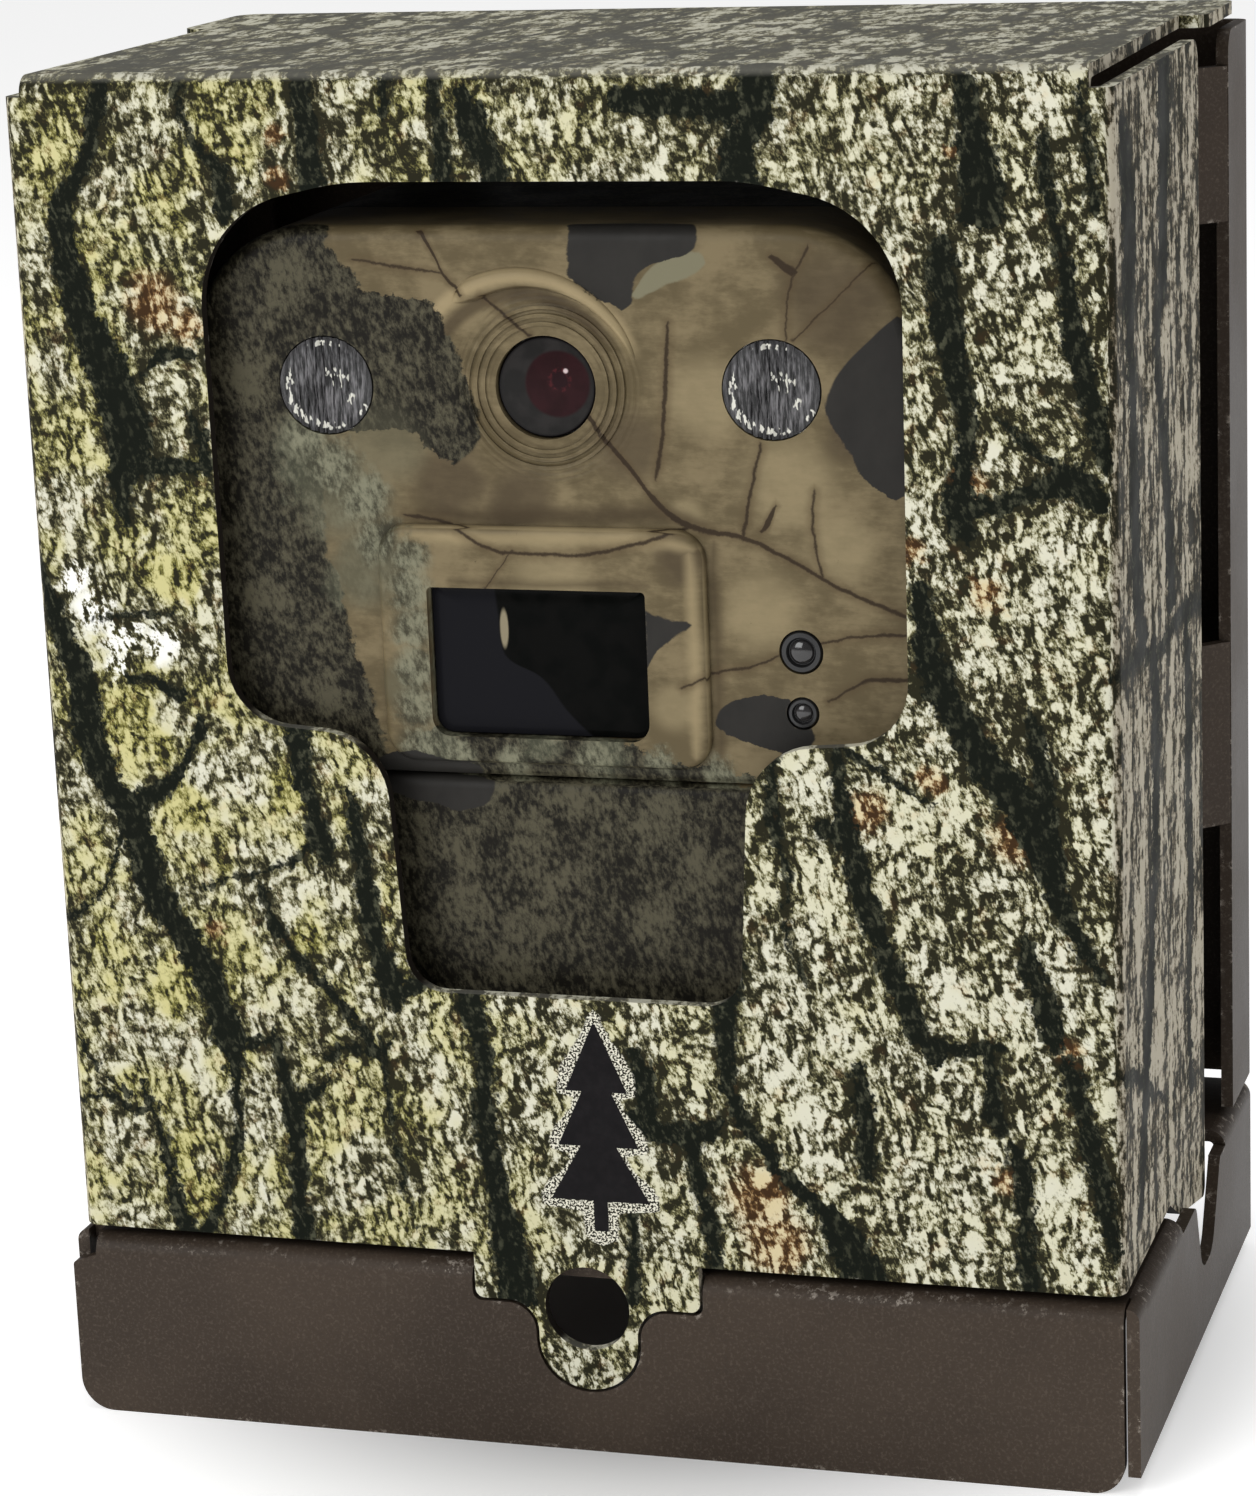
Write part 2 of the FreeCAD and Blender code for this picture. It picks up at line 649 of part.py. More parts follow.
def make_gasket():
    body = new_body("case_gasket")
    outer, inner = 0.8, 2.3
    outline = case_outline(case_seam, case_top, outer, crown - outer, 1)
    hole = case_outline(case_seam + 1.7, case_top - 2.2, inner, crown - inner, 0.8)
    prism(body, "XZ", case_split - gasket_thick, case_split, outline, hole)
    return body


def make_battery_door():
    """The lower front of the case: a shallow pan that swings on its left side."""
    body = new_body("battery_door")
    floor, top = -shelf_drop + 0.5, case_seam - door_gap
    front, rear = case_front + door_setback, case_split - door_gap
    foot = case_foot - 0.5
    wall = case_wall
    prism(body, "XZ", front, rear, case_outline(floor, top, 0, 1.2, foot))
    round_edges(body, 1.8, lambda b: near(b.YMin, front) and near(b.YMax, front))
    hollow = case_outline(floor + wall, top - wall, wall, 1, foot - wall)
    cut_prism(body, "XZ", front + wall, rear + 1, hollow)
    add_knuckle(body, 16.3, 31.7, rear - 2, rear)
    cut_prism(body, "XZ", front - 1, front + 4, (knob_x(), knob_high, shaft_radius + 0.1))
    return body


def knob_x():
    return case_right - knob_inset


def make_hinge_pin():
    x, y = hinge_axis()
    shank = post("hinge_shank", x, y, 7.4, 40.6, hinge_pin_radius)
    heads = [post("hinge_head", x, y, low, low + 1, hinge_pin_radius + 0.7) for low in (6.8, 40.2)]
    return finish(fuse("hinge_pin", [shank] + heads), "hinge_pin")


def make_latch():
    """A quarter-turn latch: a finger knob, its shaft, and the cam that turns behind the catch."""
    front = case_front + door_setback
    x, z = knob_x(), knob_high
    half_grip, half_cam, cam_reach = 1.2, 2.5, 5.8
    cam_front = case_split + 4.4
    cam_rear = cam_front + steel
    knob = rod("knob_disc", x, front - 2, front - 0.2, z, knob_radius)
    grip = block("knob_grip", x - half_grip, x + half_grip, front - 3.2, front - 1.5,
                 z - knob_radius + 0.5, z + knob_radius - 0.5)
    shaft = rod("knob_shaft", x, front - 0.5, cam_rear + 0.2, z, shaft_radius)
    cam = block("knob_cam", x - half_cam, x + half_cam, cam_front, cam_rear, z - cam_reach, z + half_cam)
    return finish(fuse("door_latch", [knob, grip, shaft, cam]), "door_latch")


# ---------------------------------------------------------------- optics and sensors

def make_lens():
    barrel_front, stop, barrel_rear = case_front + 2, 11.4, 24.2
    barrel, wide_bore, bore_radius = 6.3, 5.2, 3.6
    window = rod("lens_window", case_shift, case_front + 0.6, case_front + 1.8, lens_high, lens_radius)
    finish(window, "lens_window")
    shell = rod("barrel_shell", case_shift, barrel_front, barrel_rear, lens_high, barrel)
    throat = rod("barrel_throat", case_shift, barrel_front, stop, lens_high, wide_bore, bore_radius)
    bore = rod("barrel_bore", case_shift, stop - 0.1, barrel_rear + 2, lens_high, bore_radius)
    finish(cut("lens_barrel", shell, fuse("barrel_hollow", [throat, bore])), "lens_barrel")
    glass = doc.addObject("Part::Sphere", "glass_ball")
    glass.Radius = 7
    bind(glass, "Placement.Base.x", case_shift)
    bind(glass, "Placement.Base.y", stop + 6)
    bind(glass, "Placement.Base.z", lens_high)
    limit = rod("glass_limit", case_shift, stop - 2.4, stop + 2, lens_high, bore_radius - 0.1)
    element = doc.addObject("Part::Common", "lens_element")
    element.Base = glass
    element.Tool = limit
    finish(element, "lens_element")
    half_chip, half_board = (3.2, 2.8), (11, 9)
    board_face = barrel_rear + 1.1
    chip = block("sensor_chip", case_shift - half_chip[0], case_shift + half_chip[0],
                 board_face - 0.9, board_face, lens_high - half_chip[1], lens_high + half_chip[1])
    finish(chip, "image_sensor")
    board = block("sensor_board", case_shift - half_board[0], case_shift + half_board[0],
                  board_face, board_face + 1.2, lens_high - half_board[1], lens_high + half_board[1])
    finish(board, "sensor_board")


def make_floods():
    """An infrared floodlight at each side of the lens: a ribbed lens, a lamp board and its lamps."""
    board_face, lamp_apart, lamp_radius = 15, 4.3, 1.5
    for side, word in ((-1, "left"), (1, "right")):
        x = case_shift + side * flood_apart
        radius = lens_radius - 0.2
        lens = rod(f"flood_lens_{word}", x, case_front - 0.2, case_front + 2, lens_high, radius)
        finish(lens, f"flood_lens_{word}")
        board = rod(f"lamp_board_{word}", x, board_face, board_face + 1.2, lens_high, 9)
        finish(board, f"lamp_board_{word}")
        turns = [i * math.pi / 3 for i in range(6)]
        spots = [(lamp_apart * math.cos(turn), lamp_apart * math.sin(turn)) for turn in turns] + [(0, 0)]
        lamps = [rod(f"lamp_{word}_{i}", x + across, board_face - 4.4, board_face, lens_high + up,
                     lamp_radius) for i, (across, up) in enumerate(spots)]
        group(f"lamps_{word}", lamps)


def make_sensors():
    inset = 0.2
    window = new_body("motion_window")
    half_wide, half_tall = motion_wide / 2 - inset, motion_tall / 2 - inset
    low_z, high_z = motion_high - half_tall, motion_high + half_tall
    outline = [(motion_across - half_wide, low_z, 2.2), (motion_across + half_wide, low_z, 2.2),
               (motion_across + half_wide, high_z, 0.5), (motion_across - half_wide, high_z, 0.5)]
    prism(window, "XZ", case_front + 0.2, case_front + 1.4, outline)
    board_face, half_board = 22, 14
    can = rod("motion_sensor", motion_across, board_face - 4, board_face, motion_high, 4.6)
    finish(can, "motion_sensor")
    board = block("motion_board", motion_across - half_board, motion_across + half_board,
                  board_face, board_face + 1.2, motion_high - 9.4, motion_high + 10.1)
    finish(board, "motion_board")
    names = ("light_sensor_lens", "indicator_lens")
    for name, (high, radius) in zip(names, sensor_spots()):
        finish(rod(name, sensor_across, case_front - 0.1, case_front + 2, high, radius), name)


# ---------------------------------------------------------------- electronics and controls

def make_boards():
    board_rear = board_front + board_thick
    main = block("main_plate", case_left + 5, case_right - 5, board_front, board_rear,
                 case_seam + 5, case_top - 14)
    finish(main, "main_board")
    chip_height, screw_head, post_radius = 2, 1.4, 2.4
    spots = ((-22, 90, 9), (6, 96, 7), (22, 78, 6), (-8, 76, 5))
    chips = [block(f"chip_{i}", case_shift + x - size, case_shift + x + size, board_front - chip_height,
                   board_front, z - size, z + size) for i, (x, z, size) in enumerate(spots)]
    group("board_chips", chips)
    corners = [(x, z) for x in (-36, 36) for z in (72, 110)]
    posts = [rod(f"post_{i}", case_shift + x, board_rear, case_back - case_wall, z, post_radius)
             for i, (x, z) in enumerate(corners)]
    group("board_posts", posts)
    heads = [rod(f"board_screw_{i}", case_shift + x, board_front - screw_head, board_front, z, 2.2)
             for i, (x, z) in enumerate(corners)]
    group("board_screws", heads)
    corners = [(-38, 5), (38, 5), (-38, 61), (38, 61), (-36, 119), (36, 119)]
    screws = [rod(f"case_screw_{i}", case_shift + x, case_back, case_back + screw_head, z, 2.6)
              for i, (x, z) in enumerate(corners)]
    group("case_screws", screws)
    insert_front = plate_front - 12
    outer = rod("insert_outer", case_shift, insert_front, plate_front - 0.4, insert_high, insert_radius)
    hole = rod("insert_hole", case_shift, insert_front - 1, plate_front, insert_high, insert_radius - 1.1)
    finish(cut("tripod_insert", outer, hole), "tripod_insert")


def make_battery_bay():
    """Six cells in two rows of three, upright in a tray, between springs and contact plates."""
    left, floor = case_left + 4, Length(1.5)
    pitch = 2 * cell_radius + 0.6
    wall = tray_wall
    body = new_body("battery_tray")
    right = left + 3 * pitch + 2 * wall
    top = floor + tray_tall
    prism(body, "XY", floor, top, box_loop(left, right, tray_front, tray_rear, 2))
    cut_prism(body, "XZ", tray_front - 1, tray_rear - wall,
              box_loop(left + wall, right - wall, floor + wall, top - wall, 1))
    inner_floor = floor + wall
    cell_low, cell_high = inner_floor + spring_tall, inner_floor + spring_tall + cell_long
    can_high = cell_high - 1.4
    springs = []
    for row in range(2):
        for column in range(3):
            x = left + wall + pitch * (column + 0.5)
            y = tray_front + cell_radius + 0.7 + row * cell_apart
            name = f"battery_cell_{row * 3 + column + 1}"
            can = post(f"{name}_can", x, y, cell_low, can_high, cell_radius)
            nub = post(f"{name}_nub", x, y, can_high - 0.1, cell_high, 2.7)
            finish(fuse(name, [can, nub]), name)
            springs.append(post(f"spring_{row}_{column}", x, y, inner_floor, cell_low, 3.4))
    group("battery_springs", springs)
    margin = 2.4
    plates = []
    for column in range(3):
        low, high = left + wall + pitch * column, left + wall + pitch * (column + 1)
        plates.append(block(f"plate_{column}", low + margin, high - margin, tray_front + 3,
                            tray_rear - wall - 3, top - wall - 0.4, top - wall))
    group("battery_plates", plates)


def panel_middle():
    """Where the control pad's middle button is."""
    return case_right - 17.5, Length(22)


def button_places():
    x, z = panel_middle()
    return (("button_ok", x, z), ("button_left", x - button_apart, z), ("button_right", x + button_apart, z),
            ("button_up", x, z + button_apart), ("button_down", x, z - button_apart))


def make_controls():
    """The control panel beside the cells: a screen, five buttons, a power switch and a card."""
    left, right = case_left + 56.5, case_right - case_wall - 2
    body = new_body("control_panel")
    front, back = panel_front, panel_front + panel_thick
    prism(body, "XZ", front, back, box_loop(left, right, 3, 58, 2))
    x_low, x_high, z_low, z_high = left + 4, right - 3, Length(38), Length(55)
    cut_prism(body, "XZ", front - 1, back + 1, box_loop(x_low, x_high, z_low, z_high, 0.3))
    play = 0.1
    glass = block("screen_glass", x_low + play, x_high - play, front + 0.3, front + 1.3,
                  z_low + play, z_high - play)
    finish(glass, "screen_window")
    module = block("screen_body", x_low - 1, x_high + 1, back, back + 3, z_low - 1, z_high + 1)
    finish(module, "screen_module")

    holes = [(x, z, button_radius + fit_gap) for name, x, z in button_places()]
    cut_prism(body, "XZ", front - 1, back + 1, *holes)
    for name, x, z in button_places():
        cap = rod(f"{name}_cap", x, front - 1.6, back + 0.2, z, button_radius)
        flange = rod(f"{name}_rim", x, back + fit_gap, back + 1.2, z, button_radius + 0.6)
        finish(fuse(name, [cap, flange]), name)
    x, z = panel_middle()
    board = block("button_board", x - 10.6, x + 12.6, back + 2.6, back + 4, 2.9, 34.5)
    finish(board, "button_board")

    switch_high, half_lever, half_slot = Length(6.5), 1.4, 1.6
    slot = box_loop(x - 5, x + 5, switch_high - half_slot, switch_high + half_slot, 0.4)
    cut_prism(body, "XZ", front - 1, back + 1, slot)
    lever = block("switch_lever", x - 4.4, x - 0.6, front - 1.8, back + 0.4,
                  switch_high - half_lever, switch_high + half_lever)
    slider = block("switch_slider", x - 6.2, x + 0.6, back + 0.3, back + 1.4,
                   switch_high - 2.2, switch_high + 2.2)
    finish(fuse("power_switch", [lever, slider]), "power_switch")

    card_x, card_low, card_high, half_card = left + 4, Length(9), Length(33), 1.05
    slot = box_loop(card_x - 1.4, card_x + 1.4, card_low - 0.4, card_high + 0.4, 0.3)
    cut_prism(body, "XZ", front - 1, back + 1, slot)
    card = block("card_plate", card_x - half_card, card_x + half_card, front - 3, front + 29,
                 card_low, card_high)
    finish(card, "memory_card")
    half_space, half_shell = half_card + 0.2, 2.6
    shell = block("socket_shell", card_x - half_shell, card_x + half_shell, back + 0.4, front + 32,
                  card_low - 1.6, card_high + 1.6)
    space = block("socket_space", card_x - half_space, card_x + half_space, back - 1, front + 30.6,
                  card_low - 0.2, card_high + 0.2)
    finish(cut("card_socket", shell, space), "card_socket")


make_cover()
make_decal()
make_shelf()
make_back_frame()
make_rear_case()
make_front_case()
make_brow()
make_gasket()
make_battery_door()
make_hinge_pin()
make_latch()
make_lens()
make_floods()
make_sensors()
make_boards()
make_battery_bay()
make_controls()
doc.recompute()

for item in doc.Objects:
    if "Invalid" in item.State or "Error" in item.State:
        raise RuntimeError(f"{item.Label} did not compute: {item.State}")
os.makedirs("parts", exist_ok=True)
for item in sub_parts:
    shape = item.Shape
    if shape.isNull() or not shape.isValid():
        raise RuntimeError(f"{item.Label} has no valid shape")
    shape.exportStep(f"parts/{item.Label}.step")
print(len(sub_parts), "sub-parts")
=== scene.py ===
"""Looks for the trail camera in its steel lock box: materials, small visible pieces, light, camera."""
import math
import bpy
import bmesh
from mathutils import Matrix, Vector


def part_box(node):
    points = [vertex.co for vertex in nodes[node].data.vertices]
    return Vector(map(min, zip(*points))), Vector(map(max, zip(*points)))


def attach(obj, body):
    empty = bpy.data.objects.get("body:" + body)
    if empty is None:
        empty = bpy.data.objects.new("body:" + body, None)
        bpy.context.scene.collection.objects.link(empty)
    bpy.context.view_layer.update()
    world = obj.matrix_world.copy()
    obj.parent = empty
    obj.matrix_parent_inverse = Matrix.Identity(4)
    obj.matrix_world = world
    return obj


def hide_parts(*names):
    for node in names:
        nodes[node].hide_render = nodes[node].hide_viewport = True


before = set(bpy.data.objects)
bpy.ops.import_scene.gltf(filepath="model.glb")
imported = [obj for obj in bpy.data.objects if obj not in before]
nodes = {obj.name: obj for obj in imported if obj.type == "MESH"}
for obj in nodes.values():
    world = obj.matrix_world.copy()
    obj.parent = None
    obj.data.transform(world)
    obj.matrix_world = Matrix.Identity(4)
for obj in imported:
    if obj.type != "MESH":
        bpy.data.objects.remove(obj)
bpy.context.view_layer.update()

MM = 0.001
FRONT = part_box("front_cover")[0].y                  # the cover's front face
CASE_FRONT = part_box("front_case")[0].y + 1.4 * MM   # the case's face, behind the hood's
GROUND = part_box("base_shelf")[0].z
SILL = 25.9         # the cover's bottom edge above the ground, in mm
SIDE_FOLD = 68.5    # where the cover's flat sheet turns back at each side, in mm from its middle
TOP_FOLD = 148.7    # and where it turns back at the top, in mm above the sill


# -------- node trees as expressions

class Signal:
    """One socket of a material, which adds and multiplies like a number."""

    def __init__(self, paint, socket):
        self.paint = paint
        self.socket = socket

    def math(self, operation, other=None):
        node = self.paint.tree.nodes.new("ShaderNodeMath")
        node.operation = operation
        self.paint.link(self, node.inputs[0])
        if other is not None:
            self.paint.link(other, node.inputs[1])
        return Signal(self.paint, node.outputs[0])

    def __add__(self, other):
        return self.math("ADD", other)

    def __sub__(self, other):
        return self.math("SUBTRACT", other)

    def __mul__(self, other):
        return self.math("MULTIPLY", other)

    def __neg__(self):
        return self * -1.0

    def __rsub__(self, other):
        return self * -1.0 + other

    __radd__ = __add__
    __rmul__ = __mul__

    def size(self):
        return self.math("ABSOLUTE")

    def least(self, other):
        return self.math("MINIMUM", other)

    def most(self, other):
        return self.math("MAXIMUM", other)

    def ramp(self, low, high, start=0.0, end=1.0):
        """Smoothly from start to end as the signal goes from low to high."""
        node = self.paint.tree.nodes.new("ShaderNodeMapRange")
        node.interpolation_type = "SMOOTHSTEP"
        for slot, value in enumerate((self, low, high, start, end)):
            self.paint.link(value, node.inputs[slot])
        return Signal(self.paint, node.outputs[0])

    def fall(self, low, high):
        """Smoothly from one to nothing as the signal goes from low to high."""
        return self.ramp(low, high, 1.0, 0.0)


class Paint:
    """A material whose colour, roughness and bump are written as expressions. Lengths are in mm."""

    def __init__(self, name, **fixed):
        self.material = bpy.data.materials.new(name)
        self.material.use_nodes = True
        self.tree = self.material.node_tree
        self.shader = self.tree.nodes["Principled BSDF"]
        for socket, value in fixed.items():
            self.shader.inputs[socket.replace("_", " ")].default_value = value
        coords = self.tree.nodes.new("ShaderNodeTexCoord").outputs
        self.normal = coords["Normal"]
        self.place = self.vector("MULTIPLY", coords["Object"], (1000.0,) * 3)[0]
        self.x, self.y, self.z = self.split(self.place)

    def link(self, value, socket):
        """Feed a signal, an output, a place made of signals, a colour or a number to a socket."""
        if isinstance(value, Signal):
            value = value.socket
        if isinstance(value, bpy.types.NodeSocket):
            self.tree.links.new(value, socket)
        elif isinstance(value, tuple) and isinstance(value[0], Signal):
            self.link(self.join(*value), socket)
        elif isinstance(value, tuple) and socket.type == "RGBA":
            socket.default_value = (*value, 1.0)
        else:
            socket.default_value = value

    def node(self, kind, **values):
        item = self.tree.nodes.new(kind)
        for socket, value in values.items():
            self.link(value, item.inputs[socket])
        return item

    def curve(self, run, points):
        """A smooth curve through (run, value) points, level past its ends."""
        item = self.node("ShaderNodeFloatCurve", Value=run)
        item.mapping.use_clip = False
        item.mapping.extend = "HORIZONTAL"
        line = item.mapping.curves[0].points
        ordered = sorted(points)
        line[0].location, line[1].location = ordered[0], ordered[-1]
        for point in ordered[1:-1]:
            line.new(*point)
        for point in line:
            point.handle_type = "AUTO_CLAMPED"
        item.mapping.update()
        return Signal(self, item.outputs[0])

    def strokes(self, run, across, paths):
        """How far inside the nearest stroke, in mm: a path is (run, middle, width) points."""
        inside = None
        for path in paths:
            path = sorted(path)
            middle = self.curve(run, [point[:2] for point in path])
            first, last = path[0][0] - 1.5, path[-1][0] + 1.5
            half = [(first, -2.0)] + [(point[0], point[2] / 2) for point in path] + [(last, -2.0)]
            depth = self.curve(run, half) - (across - middle).size()
            inside = depth if inside is None else inside.most(depth)
        return inside

    def spots(self, u, v, places):
        """One at the middle of each soft spot (u, v, radius), fading to nothing at its rim."""
        where = self.join(u, v)
        total = None
        for x, y, radius in places:
            spot = self.far(where, x, y).fall(radius * 0.35, radius)
            total = spot if total is None else total.most(spot)
        return total

    def vector(self, operation, first, second):
        item = self.tree.nodes.new("ShaderNodeVectorMath")
        item.operation = operation
        self.link(first, item.inputs[0])
        self.link(second, item.inputs[1])
        return item.outputs

    def far(self, where, x, y):
        """How far a place is from the point (x, y)."""
        return Signal(self, self.vector("DISTANCE", where, (x, y, 0.0))["Value"])

    def split(self, vector):
        item = self.node("ShaderNodeSeparateXYZ", Vector=vector)
        return [Signal(self, item.outputs[i]) for i in range(3)]

    def join(self, x, y, z=0.0):
        return self.node("ShaderNodeCombineXYZ", X=x, Y=y, Z=z).outputs[0]

    def noise(self, where, size, detail=2.0, rough=0.5):
        """Soft noise from 0 to 1 whose lumps are about the given size in mm."""
        item = self.node("ShaderNodeTexNoise", Vector=where, Scale=1.0 / size, Detail=detail,
                         Roughness=rough)
        return Signal(self, item.outputs["Fac"])

    def grain(self, *values):
        """Noise in the piece's own three dimensions."""
        return self.noise(self.place, *values)

    def cells(self, where, size, feature="F1", distance="EUCLIDEAN"):
        """Random cells of about the given size in mm."""
        item = self.node("ShaderNodeTexVoronoi", Vector=where, Scale=1.0 / size)
        item.feature, item.distance = feature, distance
        return item

    def edges(self, where, size):
        """Distance to the nearest cell border, in cell sizes."""
        return Signal(self, self.cells(where, size, "DISTANCE_TO_EDGE").outputs["Distance"])

    def mix(self, first, second, share):
        item = self.tree.nodes.new("ShaderNodeMix")
        item.data_type = "RGBA"
        self.link(share, item.inputs["Factor"])
        self.link(first, item.inputs[6])
        self.link(second, item.inputs[7])
        return item.outputs[2]

    def worn_edge(self, radius):
        """One along sharp and folded edges, from the shader's own bevelled normal."""
        bevel = self.node("ShaderNodeBevel", Radius=radius * MM)
        bevel.samples = 4
        geometry = self.tree.nodes.new("ShaderNodeNewGeometry")
        dot = self.vector("DOT_PRODUCT", bevel.outputs[0], geometry.outputs["True Normal"])
        return (1.0 - Signal(self, dot["Value"])).ramp(0.03, 0.2)

    def done(self, colour, rough, *layers):
        """The material with its colour, roughness and relief, (height signal, height in mm) by layer."""
        self.link(colour, self.shader.inputs["Base Color"])
        self.link(rough, self.shader.inputs["Roughness"])
        normal = None
        for height, depth in layers:
            item = self.node("ShaderNodeBump", Distance=depth * MM, Height=height)
            if normal is not None:
                self.link(normal, item.inputs["Normal"])
            normal = item.outputs[0]
        self.link(normal, self.shader.inputs["Normal"])
        return self.material


def srgb(red, green, blue):
    """A colour as it looks on screen, 0 to 255, turned into the shader's linear numbers."""
    def linear(level):
        level /= 255
        return level / 12.92 if level <= 0.04045 else ((level + 0.055) / 1.055) ** 2.4
    return tuple(linear(level) for level in (red, green, blue))


# -------- materials

# The furrows of the printed bark on the flat sheet: (height, middle, width) down each furrow.
# Heights run up from the cover's bottom edge, and the sheet folds back at plus and minus SIDE_FOLD.
FURROWS = (
    ((148, -55, 2.5), (139, -57.5, 2.5), (131, -61.5, 3.5), (121, -60, 4.5), (109, -55.5, 6.5),
     (103, -54.5, 6), (98, -56, 3), (93, -55.5, 0.8)),
    ((150, -45.5, 1.4), (141, -44, 1.2), (137, -40.5, 2.6), (131, -40, 2)),
    ((153, -31, 3), (143, -28.8, 3.2), (133, -28.4, 3.4)),
    ((149, -18.5, 1.8), (143, -18.8, 0.8)),
    ((150, -13, 1.6), (141, -12, 2), (135, -11.5, 2.6)),
    ((146, -9, 3), (141, -7.5, 4.2), (135, -4.5, 3)),
    ((154, 27, 4), (143, 26.8, 4.6), (139, 24.5, 4.6), (133, 24.5, 5)),
    ((149, 51, 1.5), (143, 52, 3.2), (138, 53, 4.8), (131, 53.4, 5.4)),
    ((129, 48.5, 1.6), (126, 48.6, 3.6), (120, 48.8, 4), (113, 50, 3.4), (107, 51, 2.4),
     (101, 50.5, 3), (97, 49.6, 3.6), (93, 51, 1.4)),
    ((141, 60.5, 0.8), (136, 60.8, 1.4), (127, 62.8, 2), (118, 63.8, 3), (109, 66, 3.2), (102, 68, 2)),
    ((146, 65, 1.2), (132, 66.4, 1.2)),
    ((88, 45, 1.5), (84, 45.5, 3), (78, 46.5, 4.2), (74, 48, 4.6), (70, 50.5, 4.6), (66, 53, 5.6),
     (62, 56.5, 6.6), (58, 58.5, 6), (54, 60, 4.5), (49, 61.5, 3), (44, 64, 2.5), (40, 66.5, 1.2)),
    ((73, 58, 0.8), (68, 59, 2.4), (61, 60, 3)),
    ((45, 57, 1), (40, 58, 3), (36, 59.5, 3.4), (31, 60.5, 1.2)),
    ((30, 61.5, 1.4), (27, 62.8, 3), (23, 63.8, 2), (19, 64.6, 2.8), (12, 66.3, 2.6), (5, 68, 1.4)),
    ((31, 52.5, 1.4), (27, 52.6, 2), (23, 52.8, 2.8), (20, 53.5, 1.2)),
    ((19, 55, 1.2), (15, 56.3, 2.8), (10, 56.4, 2), (4, 56.5, 2.6), (-1, 57.5, 3)),
    ((69, 34, 1), (60, 35, 2.2), (55, 36, 3.2), (47, 38, 3.4), (41, 40.2, 3.2), (36, 42.2, 3.2),
     (32, 44, 3.6), (29, 46, 2.4)),
    ((66, 26.5, 1.6), (60, 26.2, 1.6), (51, 27.8, 1), (45, 27.5, 0.6), (38, 29.8, 0.5)),
    ((42, 20.8, 2), (38, 20.5, 3), (32, 19.4, 3), (26, 19.4, 2.4), (21, 20.6, 2.4), (17, 23.5, 2.4),
     (12, 27, 3), (9, 31, 4), (6, 33.5, 5), (-1, 36.5, 6.4)),
    ((28, 7.5, 2), (22, 9, 3), (18, 8.5, 3)),
    ((18, 14.5, 2.6), (13, 14.8, 2), (7, 16.2, 2.2), (-1, 17.5, 2.2)),
    ((12, 5, 0.8), (6, 6.5, 1.4), (-5, 6.2, 2)),
    ((28, 36, 1.4), (23, 36.5, 2.6), (19, 36.8, 2.8), (13, 37.2, 1.2)),
    ((88, -68.5, 2), (84, -67, 3), (78, -65, 3.2), (73, -63, 4.3), (67, -62.8, 4.5), (61, -61, 4.2),
     (56, -58, 5), (50, -56, 4.2), (44, -54.3, 5), (39, -51, 5), (33, -48, 4.2), (27, -46.5, 4.6),
     (23, -45.8, 2.5), (19, -45.7, 1.5), (14, -45.3, 0.8)),
    ((71, -36, 2), (67, -34.5, 3.4), (62, -34.3, 2.8), (57, -33, 2.4), (53.5, -32.3, 3.6),
     (50.5, -31.5, 1.6)),
    ((60, -28, 1), (56, -27.6, 2.2), (50, -27, 2.4), (44, -26.3, 2.8), (39, -25.4, 3), (35, -24, 4),
     (32, -23.5, 1.6)),
    ((47, -40.5, 0.8), (43, -39.5, 1.8), (37, -35.5, 2.2), (33, -31.5, 1.6), (25.5, -26, 2)),
    ((28, -40, 1.4), (21, -38.9, 2), (16, -38, 3.2), (10, -37.8, 2.6), (5, -38, 2.6), (-1, -37.4, 3.2)),
    ((20, -58.5, 1), (16, -57.3, 1.3), (11, -56, 1.6), (5, -55, 2), (-1, -53.5, 3.4)),
    ((15, -45.8, 1), (10, -46.8, 2), (6, -48, 1.5), (-1, -52, 2.4)),
    ((35, -14, 4), (30, -13, 3.2), (25, -12.2, 2.8), (20, -12.4, 2.8), (14, -12, 3.2), (8, -11, 3.4),
     (3, -10.3, 4.6), (-6, -9, 5.5)),
    ((28, -25.5, 0.6), (20, -25, 0.7), (12, -24, 0.6), (3, -22.5, 0.5)),
    ((107, -46, 1), (104, -45, 2), (100, -44.4, 2)),
    ((142, 75, 3), (133, 78, 8), (125, 79, 9), (118, 78, 6), (108, 80, 5), (95, 81, 7),
     (84, 82, 6), (78, 86, 7)),
    ((147, 103, 8), (138, 103, 9), (130, 102, 7), (120, 101, 7), (112, 97, 4), (98, 102, 5),
     (78, 106, 6)),
    ((76, 92, 5), (66, 94, 6), (55, 93, 5), (48, 92, 4), (40, 90, 4), (34, 88, 6), (20, 84, 5),
     (6, 80, 3)),
    ((76, 116, 3), (60, 118, 5), (50, 117, 5), (36, 119, 4), (24, 116, 3), (10, 118, 4)),
)
